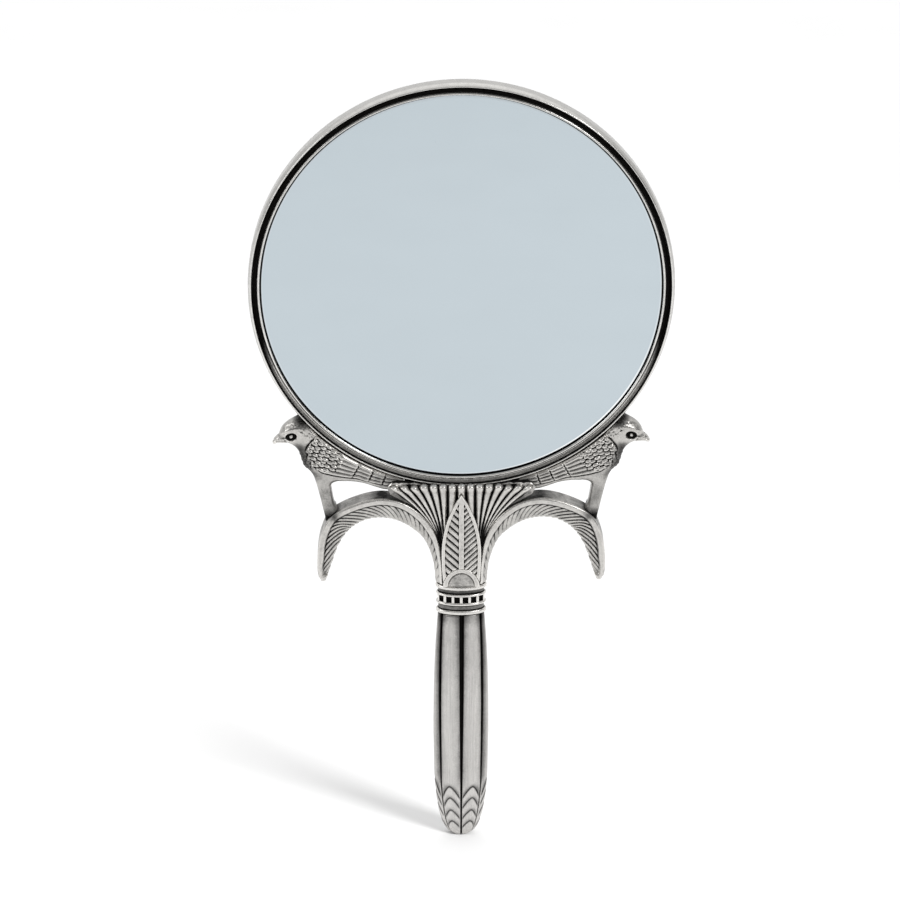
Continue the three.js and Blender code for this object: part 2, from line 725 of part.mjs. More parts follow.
function buildBirdsAndFronds() {
  const frondBody = solid(loft(frondLoops(0)));
  const frondGrown = solid(loft(frondLoops(FIT_GAP)));
  const middleY = (BIRD_FRONT_Y + BIRD_BACK_Y) / 2;
  const plan = new THREE.Shape([
    ...BIRD_THICKNESS.map(([x, half]) => new THREE.Vector2(x, middleY - half)),
    ...BIRD_THICKNESS.toReversed().map(([x, half]) => new THREE.Vector2(x, middleY + half)),
  ]);
  const envelope = new THREE.ExtrudeGeometry(plan, { depth: 60, bevelEnabled: false }).translate(0, 0, 100);
  const outline = plate(smoothShape(BIRD_OUTLINE, 84), BIRD_FRONT_Y, BIRD_BACK_Y);
  const body = solid(outline).intersect(solid(envelope));
  const wing = solid(plate(smoothShape(WING_OUTLINE, 24), BIRD_FRONT_Y, BIRD_BACK_Y, 0.4));
  const eyeFront = new THREE.Vector3(-EYE_X, BIRD_FRONT_Y + 0.4, EYE_Z);
  const eyeBack = new THREE.Vector3(-EYE_X, BIRD_BACK_Y - 0.4, EYE_Z);
  const eye = solid(bar(EYE_RADIUS, eyeFront, eyeBack));
  const besideCapital = solid(box(2 * TAIL_END_X, 20, 60, 0, 0, 120));
  const bird = body.add(wing).add(eye).subtract(panSpace).subtract(frondGrown);
  const parts = {
    frond: geometryOf(drillDowels(frondBody)),
    bird: geometryOf(drillDowels(bird.subtract(besideCapital))),
  };
  for (const [kind, left] of Object.entries(parts)) {
    add(`${kind}_left`, left, pewter());
    add(`${kind}_right`, mirrored(left), pewter());
  }
}

// Hidden fastenings
function buildFastenings() {
  const bottom = new THREE.Vector3(0, 0, STUD_Z);
  const top = new THREE.Vector3(0, 0, STUD_Z + STUD_LENGTH);
  add('neck_stud', bar(STUD_RADIUS, bottom, top, 16), steel());
  for (const { name, from, to } of dowels) {
    add(name, bar(DOWEL_RADIUS, from, to), steel());
  }
}

buildHead();
buildHandle();
buildCollar();
buildCapital();
buildBirdsAndFronds();
buildFastenings();
mirrorGroup.position.z = -GRIP_Z;

export default mirrorGroup;
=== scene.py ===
"""Looks of the pewter hand mirror.

Lengths in this file are millimetres, with heights measured up from the handle's end, until a mesh is
made in place(); the last step there moves it to the row frame, in metres.
"""

import math

import bmesh
import bpy
import numpy as np
import openvdb
from mathutils import Euler, Matrix, Vector


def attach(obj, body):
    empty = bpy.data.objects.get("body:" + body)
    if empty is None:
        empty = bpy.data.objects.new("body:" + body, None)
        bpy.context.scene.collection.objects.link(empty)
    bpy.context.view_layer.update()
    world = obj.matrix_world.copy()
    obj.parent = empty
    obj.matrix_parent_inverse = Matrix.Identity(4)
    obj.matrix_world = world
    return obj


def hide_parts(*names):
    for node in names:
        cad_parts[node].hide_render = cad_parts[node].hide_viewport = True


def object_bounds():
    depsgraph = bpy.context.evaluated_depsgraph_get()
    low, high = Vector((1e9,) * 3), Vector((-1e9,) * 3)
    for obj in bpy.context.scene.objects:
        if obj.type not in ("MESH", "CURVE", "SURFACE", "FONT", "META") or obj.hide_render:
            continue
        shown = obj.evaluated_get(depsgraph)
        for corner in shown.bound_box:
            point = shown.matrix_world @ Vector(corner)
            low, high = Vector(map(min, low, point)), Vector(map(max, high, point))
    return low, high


MM = 0.001
GRIP_Z = 41.0  # height of the row frame's origin

# Head
HEAD_Z = 195.5
HEAD_RADIUS = 68.2
LIP_Y = -4.05
LIP_WALL = 1.2
BACK_Y = 5.0
POCKET_RADIUS = 65.3
POCKET_Y = 2.6
SHOULDER_Y = -0.8
GLASS_RADIUS = 65.0
GLASS_Y = -2.6
GLASS_BACK_Y = 0.4
BEVEL_WIDTH = 1.5
BEVEL_DROP = 0.15
SIGHT_RADIUS = 64.4  # edge of the glass that shows
TURNED_POINTS = 600  # points round each turned piece

# Handle
HANDLE_TOP = 81.5
HANDLE_RADIUS = 9.2
HANDLE_WIDEST_Z = 38.0
HANDLE_END_LENGTH = 22.0
PETAL_APEXES = (18.9, 14.6, 9.9, 5.6)  # tiers of engraved petals round the blunt end, the last on its tip
PETAL_X = 3.9  # a front petal's middle

# Collar
COLLAR_RADIUS = 8.3
COLLAR_DEPTH = 4.4
COLLAR_MIDDLE_Z = 87.1
BOTTOM_RING_Z = (81.85, 83.25)
SLEEVE_Z = (83.4, 90.5)
TOP_RING_Z = (90.65, 91.95)
WINDOW_COUNT = 14
WINDOW_INSET = 0.3

# Capital
CAPITAL_Z = 92.1
FLUTE_MEET_Z = 99.0
FLUTE_TOP_Z = 127.6
FLUTES_PER_SIDE = 7
FLUTE_PITCH = 2.95
KNOB_TOP_Z = 128.95
OUTER_KNOB_TOP_Z = 128.45  # of the flutes behind the falcons' tails
CAPITAL_SECTIONS = [
    # height, half width, half depth
    (92.1, 5.4, 2.2), (98, 5.4, 2.1), (104, 5.7, 2.0), (109, 7, 2.1), (113.5, 9.1, 2.2), (117, 11.9, 2.4),
    (119.5, 15, 2.8), (122, 19.2, 3.2), (124.5, 23.2, 3.6), (127.4, 24.6, 3.9), (130.6, 21.5, 3.7),
]
LEAF_HALF_WIDTH = 6.45
LEAF_APEX_Z = 125.7
LEAF_FRONT_Y = -5.05
LEAF_THICKNESS = 1.3
LEAF_LEAN = math.tan(math.radians(1.7))
ARCH_RADIUS = 6.0
ARCH_HEIGHT = 6.5
ARCH_BAND = 1.5
ARCH_FRONT_Y = -4.95
ARCH_BACK_Y = -3.75

# Fronds and falcons, drawn for the right side: distance from the middle, height
FROND_OUTER = [
    (5.95, 92.2), (6.2, 100), (8, 109.5), (12, 116.4), (18.5, 121.5), (26, 123.2), (35, 121.2),
    (42.6, 116.8), (46, 110), (47.2, 100), (46.8, 95.2), (46.0, 93.2),
]
FROND_INNER = [
    (8.4, 92.2), (9.3, 100), (12.3, 107.9), (16.3, 111.8), (20.9, 114.4), (26, 115.4),
    (31.4, 114.6), (36.3, 111.5), (39.8, 106.5), (42.3, 99.6), (43.6, 95.4), (44.6, 93.2),
]
FROND_HALF_DEPTH = 4.1
FROND_MIDDLE_Y = 0.3
STROKE_PITCH = 2.35
STROKE_SLANT = math.radians(33)
BIRD_OUTLINE = [
    (50.8, 151.7), (54.3, 150.3), (56.8, 148.7), (58.3, 147), (59, 145.2), (60.5, 143.6),
    (61.3, 142.4), (60.8, 141.4), (59.6, 141.9), (57.4, 141.9), (55.6, 141.8), (53.7, 140.5),
    (52.5, 138.6), (51.9, 136.6), (50.9, 134.2), (49.4, 132.6), (48.3, 131), (47.4, 128.6),
    (46.3, 124.4), (45.3, 120), (44.5, 116.4), (44, 114), (40, 117), (40.4, 118.9), (41.4, 121),
    (42.1, 125), (42.2, 127.6), (40.6, 128.7), (38, 129.1), (34.5, 128.9), (31.5, 128.3),
    (28.2, 127.1), (25, 126.1), (21.5, 125.9), (17, 126.2), (17, 133), (30, 142),
]
BIRD_HALF_DEPTH = [(17, 2.9), (34, 3.45), (46, 3.6), (52, 3.5), (57, 3.0), (59.6, 1.8), (62, 0.9)]
BIRD_MIDDLE_Y = 0.25
TAIL_END_X = 18.7
TAIL_TIERS = (15.2, 20.9, 24.5, 28.7)  # degrees round the head from its foot, as below
TAIL_LOWER_EDGE = [(15.2, 71.0), (19.5, 72.0), (24.7, 73.0), (27.6, 73.4), (33.1, 76.2), (36, 77.5)]
EYE_X = 55.1
EYE_Z = 144.75
SCALE_PATCH = [
    (44.5, 146), (48.6, 143), (49.9, 140.6), (49.6, 137.6), (48.3, 135.2), (46, 133.6),
    (43, 132.9), (40.4, 134), (38.9, 136.4), (38, 141),
]

# Studio
LENS = 160.08
CAMERA_PLACE = (-22.10, -1204.92, 626.56)
CAMERA_TILT = 22.0323  # degrees down from level
CAMERA_TURN = 0.8772  # degrees to the right of straight ahead
SUN_HEADING = 140.56  # degrees from +X towards +Y, the way its light goes
SUN_HEIGHT = 33.0  # degrees
SUN_SPREAD = 16.0  # degrees
SUN_STRENGTH = 2.0
FLOOR_HALF = 12.0  # metres

# How far away, for each point of a casting, the metal around it counts towards wear and tarnish
NEAR = 0.4
FAR = 1.3
WELD = 0.0002  # points of a skin closer than this become one

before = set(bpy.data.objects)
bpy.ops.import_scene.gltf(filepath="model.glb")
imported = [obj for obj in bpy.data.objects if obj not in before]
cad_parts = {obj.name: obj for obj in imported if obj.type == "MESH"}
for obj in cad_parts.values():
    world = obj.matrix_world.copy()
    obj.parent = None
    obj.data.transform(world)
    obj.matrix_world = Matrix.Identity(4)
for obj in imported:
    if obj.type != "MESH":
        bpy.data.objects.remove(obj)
cad_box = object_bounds()


# ---- Shapes ----


def fade(low, high, value):
    """0 before low and 1 past high, with a soft change between; low may be the larger number."""
    share = np.clip((value - low) / (high - low), 0, 1)
    return share * share * (3 - 2 * share)


def bump(value, width):
    """1 where value is 0, falling to nothing about two widths away."""
    return np.exp(-((value / width) ** 2))


def smooth_line(points, closed=False, pieces=10):
    """Points along a centripetal Catmull-Rom curve through the given points."""
    knots = np.array(points, dtype=float)
    if closed:
        knots = np.vstack([knots[-1], knots, knots[:2]])
    else:
        knots = np.vstack([2 * knots[0] - knots[1], knots, 2 * knots[-1] - knots[-2]])
    shares = np.linspace(0, 1, pieces, endpoint=False)[:, None]
    line = []
    for a, b, c, d in zip(knots, knots[1:], knots[2:], knots[3:]):
        t1 = np.linalg.norm(b - a) ** 0.5
        t2 = t1 + np.linalg.norm(c - b) ** 0.5
        t3 = t2 + np.linalg.norm(d - c) ** 0.5
        t = t1 + (t2 - t1) * shares
        ab = a + (b - a) * t / t1
        bc = b + (c - b) * (t - t1) / (t2 - t1)
        cd = c + (d - c) * (t - t2) / (t3 - t2)
        abc = ab + (bc - ab) * t / t2
        bcd = bc + (cd - bc) * (t - t1) / (t3 - t1)
        line.append(abc + (bcd - abc) * (t - t1) / (t2 - t1))
    line = np.vstack(line)
    return line if closed else np.vstack([line, knots[-2]])


def path_lengths(x, y):
    """How far along a path each of its points is."""
    return np.concatenate([[0], np.cumsum(np.hypot(np.diff(x), np.diff(y)))])


def line_distance(x, z, line):
    """Distance from each point to an open line, and how far along the line its nearest point is."""
    nearest = np.full(x.shape, 1e9, dtype=np.float32)
    along = np.zeros(x.shape, dtype=np.float32)
    passed = 0.0
    for (ax, az), (bx, bz) in zip(line, line[1:]):
        length = math.hypot(bx - ax, bz - az)
        ux, uz = (bx - ax) / length, (bz - az) / length
        t = np.clip((x - ax) * ux + (z - az) * uz, 0, length)
        distance = np.hypot(x - ax - t * ux, z - az - t * uz)
        closer = distance < nearest
        nearest = np.where(closer, distance, nearest)
        along = np.where(closer, passed + t, along)
        passed += length
    return nearest, along


def outline_distance(x, z, outline):
    """Distance from each point to a closed outline, negative inside."""
    ring = np.vstack([outline, outline[:1]])
    nearest, _ = line_distance(x, z, ring)
    inside = np.zeros(x.shape, dtype=bool)
    for (ax, az), (bx, bz) in zip(ring, ring[1:]):
        if az != bz:
            inside ^= ((az > z) != (bz > z)) & (x < (bx - ax) * (z - az) / (bz - az) + ax)
    return np.where(inside, -nearest, nearest)


def slab(edge, depth, front, back, rounding):
    """Distance to a plate between two depths with rounded edges; edge is the distance to its outline."""
    through = np.abs(depth - (front + back) / 2) - (back - front) / 2 + rounding
    across = edge + rounding
    outside = np.hypot(np.maximum(across, 0), np.maximum(through, 0))
    return outside + np.minimum(np.maximum(across, through), 0) - rounding


def blurred(values, reach):
    """Mean of the values up to reach steps away along every axis."""
    for axis in range(values.ndim):
        margin = [(0, 0)] * values.ndim
        margin[axis] = (reach + 1, reach)
        total = np.cumsum(np.pad(values, margin, mode="edge"), axis=axis, dtype=np.float64)
        window = 2 * reach + 1
        count = values.shape[axis]
        ahead = np.take(total, range(window, window + count), axis=axis)
        behind = np.take(total, range(count), axis=axis)
        values = ((ahead - behind) / window).astype(np.float32)
    return values


def sampled(values, places):
    """Values between grid points, at places given in steps of the grid."""
    base = np.clip(np.floor(places).astype(int), 0, np.array(values.shape) - 2)
    share = places - base
    total = np.zeros(len(places))
    for corner in np.ndindex(*(2,) * values.ndim):
        weight = np.prod(np.where(corner, share, 1 - share), axis=1)
        total += weight * values[tuple((base + corner).T)]
    return total


def wear_marks(near, far):
    """Tarnish gathers in hollows and rubs off crests; near and far are shares of metal around a point."""
    return {
        "hollow": np.clip(5.5 * (near - 0.515) + 5.0 * (far - 0.52), 0, 1),
        "crest": np.clip(6.0 * (0.47 - near) + 1.5 * (0.45 - far), 0, 1),
    }


class Block:
    """A box of evenly spaced points that a casting is carved from."""

    def __init__(self, low, high, step):
        self.low = np.array(low)
        self.step = step
        x, y, z = (np.arange(a, b + step, step, dtype=np.float32) for a, b in zip(low, high))
        self.x = np.broadcast_to(x[:, None, None], (len(x), 1, len(z)))
        self.y = y[None, :, None]
        self.z = np.broadcast_to(z[None, None, :], (len(x), 1, len(z)))

    def skin(self, field, neighbours=None):
        """Points, faces and wear marks of the skin where the field is 0; neighbours count as metal too."""
        grid = openvdb.FloatGrid(3.0)
        grid.copyFromArray(np.clip(field / self.step, -3, 3).astype(np.float32))
        places, faces = grid.convertToQuads(0.0)
        whole = field if neighbours is None else np.minimum(field, neighbours)
        metal = np.clip(0.5 - whole / (2 * self.step), 0, 1).astype(np.float32)
        near = sampled(blurred(metal, round(NEAR / self.step)), places)
        far = sampled(blurred(metal, round(FAR / self.step)), places)
        return self.low + places * self.step, faces, wear_marks(near, far)


def rounded_profile(corners, radius, pieces=5):
    """A profile with each corner rounded; the ends stay as they are."""
    corners = np.array(corners, dtype=float)
    line = [corners[0]]
    for before, corner, after in zip(corners, corners[1:], corners[2:]):
        to_before = before - corner
        to_after = after - corner
        reach_before = min(radius, np.linalg.norm(to_before) * 0.45)
        reach_after = min(radius, np.linalg.norm(to_after) * 0.45)
        a = corner + to_before / np.linalg.norm(to_before) * reach_before
        b = corner + to_after / np.linalg.norm(to_after) * reach_after
        for t in np.linspace(0, 1, pieces):
            line.append((1 - t) ** 2 * a + 2 * t * (1 - t) * corner + t**2 * b)
    line.append(corners[-1])
    return np.array(line)


def ring_faces(rows, around):
    """Faces between rows of points that each run once round a piece."""
    row, column = np.meshgrid(np.arange(rows - 1), np.arange(around), indexing="ij")
    here = row * around + column
    beside = row * around + (column + 1) % around
    return np.stack([here, beside, beside + around, here + around], axis=-1).reshape(-1, 4)


def swings():
    """Angles round the head, from its foot."""
    return np.linspace(0, 2 * np.pi, TURNED_POINTS, endpoint=False)


def turned(profile):
    """Points and faces of a skin turned about the head's axis from a profile of (radius, depth).

    Rows that meet, at the axis or where a closed profile ends, are left double: place() welds them.
    """
    radius, depth = (column[:, None] for column in profile.T)
    x = radius * np.sin(swings())
    z = HEAD_Z - radius * np.cos(swings())
    points = np.stack([x, np.broadcast_to(depth, x.shape), z], axis=-1).reshape(-1, 3)
    return points, ring_faces(len(profile), TURNED_POINTS)


def new_object(name, data):
    thing = bpy.data.objects.new(name, data)
    bpy.context.scene.collection.objects.link(thing)
    return thing


def place(name, points, faces, material, node, marks):
    """Makes a piece that stands for a CAD node, welded and kept inside the CAD model's box."""
    low, high = (np.array(corner) for corner in cad_box)
    spots = (np.array(points) - (0, 0, GRIP_Z)) * MM
    spots = np.clip(spots, low, high)
    mesh = bpy.data.meshes.new(name)
    mesh.from_pydata(spots.tolist(), [], faces.tolist())
    for mark, values in marks.items():
        layer = mesh.attributes.new(mark, "FLOAT", "POINT")
        layer.data.foreach_set("value", np.asarray(values, dtype=np.float32))
    weld = bmesh.new()
    weld.from_mesh(mesh)
    bmesh.ops.remove_doubles(weld, verts=weld.verts, dist=WELD * MM)
    weld.to_mesh(mesh)
    weld.free()
    mesh.polygons.foreach_set("use_smooth", np.ones(len(mesh.polygons), dtype=bool))
    mesh.materials.append(material)
    piece = new_object(name, mesh)
    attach(piece, "root")
    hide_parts(node)


def place_both_sides(kind, points, faces, material, marks):
    """A casting on the right and its mirror image on the left."""
    place(f"{kind}_casting_right", points, faces, material, f"{kind}_right", marks)
    points = points * (-1, 1, 1)
    place(f"{kind}_casting_left", points, faces[:, ::-1], material, f"{kind}_left", marks)


def place_front_and_rear(kind, points, faces, marks):
    """A casting in front, and the same one half a turn round behind."""
    place(f"{kind}_casting_front", points, faces, cast_pewter, f"{kind}_front", marks)
    points = points * (-1, -1, 1)
    place(f"{kind}_casting_rear", points, faces, cast_pewter, f"{kind}_rear", marks)


def add_tarnish_and_shade(marks, kept, added):
    """Keeps a share of the darkening mark and adds more to it: patina, and painted shade where a caller
    adds it.
    """
    marks["hollow"] = np.clip(kept * marks["hollow"] + added, 0, 1)


# ---- Materials ----


class Nodes:
    """A node tree, with short ways to add nodes to it."""

    def __init__(self, tree):
        self.tree = tree

    def add(self, kind, **settings):
        node = self.tree.nodes.new("ShaderNode" + kind)
        for key, value in settings.items():
            setattr(node, key, value)
        return node

    def put(self, value, socket):
        if isinstance(value, bpy.types.NodeSocket):
            self.tree.links.new(value, socket)
        else:
            socket.default_value = value

    def math(self, operation, a, b):
        node = self.add("Math", operation=operation)
        self.put(a, node.inputs[0])
        self.put(b, node.inputs[1])
        return node.outputs[0]

    def ramp(self, value, low, high, to_low=0.0, to_high=1.0, shape="LINEAR"):
        node = self.add("MapRange", clamp=True, interpolation_type=shape)
        for index, item in enumerate((value, low, high, to_low, to_high)):
            self.put(item, node.inputs[index])
        return node.outputs[0]


class Paint(Nodes):
    """A material's node tree; its patterns are placed in millimetres."""

    def __init__(self, name):
        self.material = bpy.data.materials.new(name)
        self.material.use_nodes = True
        super().__init__(self.material.node_tree)
        self.shader = self.tree.nodes["Principled BSDF"]
        to_mm = self.add("VectorMath", operation="SCALE")
        to_mm.inputs["Scale"].default_value = 1 / MM
        self.put(self.add("TexCoord").outputs["Object"], to_mm.inputs[0])
        self.spot = to_mm.outputs[0]

    def set(self, **inputs):
        """Values or sockets for the shader's inputs, named with underscores for spaces."""
        for key, value in inputs.items():
            self.put(value, self.shader.inputs[key.replace("_", " ")])

    def mix(self, share, a, b):
        """Colour a where share is 0 and b where it is 1."""
        node = self.add("Mix", data_type="RGBA")
        self.put(share, node.inputs["Factor"])
        for colour, index in ((a, 6), (b, 7)):
            self.put((*colour, 1) if isinstance(colour, tuple) else colour, node.inputs[index])
        return node.outputs[2]

    def noise(self, per_mm, detail=3.0, stretch=(1, 1, 1), roughness=0.5):
        scaled = self.add("VectorMath", operation="MULTIPLY")
        self.put(self.spot, scaled.inputs[0])
        scaled.inputs[1].default_value = stretch
        node = self.add("TexNoise")
        self.put(scaled.outputs[0], node.inputs["Vector"])
        node.inputs["Scale"].default_value = per_mm
        node.inputs["Detail"].default_value = detail
        node.inputs["Roughness"].default_value = roughness
        return node.outputs[0]

    def mark(self, name):
        return self.add("Attribute", attribute_name=name).outputs["Fac"]

    def relief(self, height, depth, strength=1.0):
        """Bumps of the given depth in mm."""
        node = self.add("Bump")
        node.inputs["Strength"].default_value = strength
        node.inputs["Distance"].default_value = depth * MM
        self.put(height, node.inputs["Height"])
        self.put(node.outputs[0], self.shader.inputs["Normal"])


def shaded(colour, share):
    return tuple(min(1, share * c) for c in colour)


def pewter(name, light, roughness, brushing, lengthwise=None, patchy=0.25, streaky=0.3, depth=0.03):
    """Cast pewter: satin metal, dulled in patches, black in its hollows and rubbed bright on its crests;
    the same black carries the shade painted into the darkening mark.
    """
    paint = Paint(name)
    stretch = (brushing, brushing, lengthwise or brushing)
    patches = paint.noise(0.3, 4, roughness=0.6)
    grain = paint.noise(2.6, 3)
    brushed = paint.noise(1.0, 5, stretch=stretch, roughness=0.7)
    hollow = paint.mark("hollow")
    crest = paint.mark("crest")

    speckled = paint.ramp(grain, 0.2, 0.8, -0.12, 0.12)
    uneven = paint.math("ADD", paint.ramp(patches, 0.25, 0.75, -patchy, patchy), speckled)
    # The darkening mark holds black patina in the hollows and painted shade; this blackens the metal for
    # both
    dirt_and_shade = paint.math("ADD", hollow, paint.math("MULTIPLY", uneven, 0.6))
    dulled = paint.ramp(paint.math("ADD", hollow, uneven), 0.0, 0.5)
    oxide_and_shade = paint.ramp(dirt_and_shade, 0.26, 0.8)

    colour = paint.mix(dulled, light, shaded(light, 0.5))
    streak = paint.ramp(brushed, 0.36, 0.68, 0.0, streaky)
    colour = paint.mix(streak, colour, shaded(light, 0.45))
    colour = paint.mix(paint.math("MULTIPLY", crest, 0.7), colour, shaded(light, 1.35))
    paint.set(Base_Color=paint.mix(oxide_and_shade, colour, OXIDE_AND_SHADE_BLACK))
    paint.set(Metallic=paint.ramp(oxide_and_shade, 0.0, 1.0, 1.0, 0.2))
    paint.set(Specular_IOR_Level=paint.ramp(oxide_and_shade, 0.0, 1.0, 0.5, 0.06))

    satin = paint.ramp(brushed, 0.25, 0.75, roughness - 0.07, roughness + 0.09)
    satin = paint.math("ADD", satin, paint.math("MULTIPLY", oxide_and_shade, 0.25))
    satin = paint.math("SUBTRACT", satin, paint.math("MULTIPLY", crest, 0.08))
    paint.set(Roughness=satin)
    texture = paint.math("ADD", paint.math("MULTIPLY", grain, 0.5), brushed)
    paint.relief(texture, depth)
    return paint.material


def silvered_glass():
    paint = Paint("silvered_glass")
    haze = paint.noise(0.05, 4)
    specks = paint.ramp(paint.noise(1.4, 1), 0.775, 0.80, 0.0, 0.35)
    tint = paint.mix(haze, (0.472, 0.532, 0.568), (0.484, 0.544, 0.581))
    tint = paint.mix(specks, tint, (0.38, 0.44, 0.48))
    # Painted highlight along the glass's bevel
    tint = paint.mix(paint.mark("painted_bevel_highlight"), tint, (0.86, 0.88, 0.89))
    # Painted shadow line where the glass runs in under the bezel
    tint = paint.mix(paint.mark("painted_edge_shadow"), tint, (0.012, 0.012, 0.012))
    paint.set(Base_Color=tint, Metallic=1.0)
    paint.set(Roughness=paint.ramp(haze, 0.3, 0.7, 0.012, 0.03))
    paint.relief(haze, 0.002, 0.3)
    return paint.material


def fibrous(name, dark, light, depth, noise, **looks):
    """A material of one grain that runs between two colours; the noise is scale, detail and stretch."""
    paint = Paint(name)
    fibre = paint.noise(*noise)
    paint.set(Base_Color=paint.mix(fibre, dark, light), **looks)
    paint.relief(fibre, depth)
    return paint.material


def card_board():
    noise = (3.0, 5, (1, 1, 0.3))
    return fibrous("card_board", (0.20, 0.145, 0.09), (0.34, 0.26, 0.17), 0.05, noise, Roughness=0.95)


def wool_felt():
    noise = (5.0, 6, (1, 0.4, 1.6))
    looks = {"Roughness": 1.0, "Sheen_Weight": 0.4}
    return fibrous("wool_felt", (0.018, 0.015, 0.013), (0.06, 0.05, 0.045), 0.15, noise, **looks)


def turned_steel():
    paint = Paint("turned_steel")
    lines = paint.noise(2.0, 3, stretch=(1, 1, 6))
    paint.set(Base_Color=paint.mix(lines, (0.42, 0.42, 0.43), (0.55, 0.55, 0.56)), Metallic=1.0)
    paint.set(Roughness=paint.ramp(lines, 0.3, 0.7, 0.28, 0.42))
    paint.relief(lines, 0.01)
    return paint.material


PEWTER = (0.60, 0.585, 0.56)
SMOOTH_PEWTER = (0.60, 0.59, 0.57)
HANDLE_PEWTER = (0.64, 0.625, 0.605)
COLLAR_PEWTER = (0.66, 0.645, 0.62)
# Black of the patina, also used for painted shade
OXIDE_AND_SHADE_BLACK = (0.006, 0.0055, 0.005)

cast_pewter = pewter("cast_pewter", PEWTER, 0.32, 1.2)
bird_pewter = pewter("bird_pewter", PEWTER, 0.31, 1.2, patchy=0.12, streaky=0.25)
rim_pewter = pewter("rim_pewter", SMOOTH_PEWTER, 0.24, 0.5, patchy=0.05, streaky=0.08, depth=0.003)
pan_pewter = pewter("pan_pewter", SMOOTH_PEWTER, 0.27, 0.7, patchy=0.12, streaky=0.2, depth=0.006)
handle_pewter = pewter(
    "handle_pewter", HANDLE_PEWTER, 0.28, 3.2, lengthwise=0.05, patchy=0.07, streaky=0.5, depth=0.01
)
collar_pewter = pewter("collar_pewter", COLLAR_PEWTER, 0.28, 1.2, patchy=0.12, depth=0.015)


# ---- Head ----


def head_profiles():
    """Sections of the pan, bezel and glass as closed outlines of (radius, depth)."""
    inner_lip = HEAD_RADIUS - LIP_WALL
    lip = ((0, 0.35), (0.12, 0.02), (0.4, 0), (0.65, 0.35), (1.0, 1.1))
    pan = [
        (0, POCKET_Y),
        (POCKET_RADIUS, POCKET_Y),
        (POCKET_RADIUS, SHOULDER_Y),
        (inner_lip, SHOULDER_Y),
        *((inner_lip + out, LIP_Y + back) for out, back in lip),
        (HEAD_RADIUS, LIP_Y + 1.9),
        (HEAD_RADIUS, 1.9),
        (HEAD_RADIUS - 0.8, 3.6),
        (HEAD_RADIUS - 2.4, 4.7),
        (HEAD_RADIUS - 4.4, BACK_Y),
        (0, BACK_Y),
    ]
    bezel_outer = inner_lip - 0.3
    ledge = SHOULDER_Y - 0.3
    lip_back = GLASS_Y + 0.05
    bead_and_cove = (
        (0, -3.3), (0.12, -3.6), (0.42, -3.75), (0.75, -3.6), (0.92, -3.15), (1.1, -2.7), (1.5, -2.5),
    )
    bezel = [
        (POCKET_RADIUS, ledge),
        (POCKET_RADIUS, lip_back),
        (SIGHT_RADIUS, lip_back),
        *((SIGHT_RADIUS + out, y) for out, y in bead_and_cove),
        (bezel_outer - 0.35, -2.8),
        (bezel_outer - 0.12, -3.35),
        (bezel_outer, -3.3),
        (bezel_outer, ledge),
        (POCKET_RADIUS, ledge),
    ]
    bevel_start = GLASS_RADIUS - BEVEL_WIDTH
    bevel = np.arange(bevel_start, SIGHT_RADIUS, 0.1)  # rows this close carry the marks of wear
    glass = [
        (0, GLASS_Y),
        *zip(bevel, GLASS_Y + BEVEL_DROP * (bevel - bevel_start) / BEVEL_WIDTH),
        (GLASS_RADIUS, GLASS_Y + BEVEL_DROP),
        (GLASS_RADIUS, GLASS_BACK_Y),
        (0, GLASS_BACK_Y),
    ]
    return rounded_profile(pan, 0.3), rounded_profile(bezel, 0.3), rounded_profile(glass, 0.05, 3)


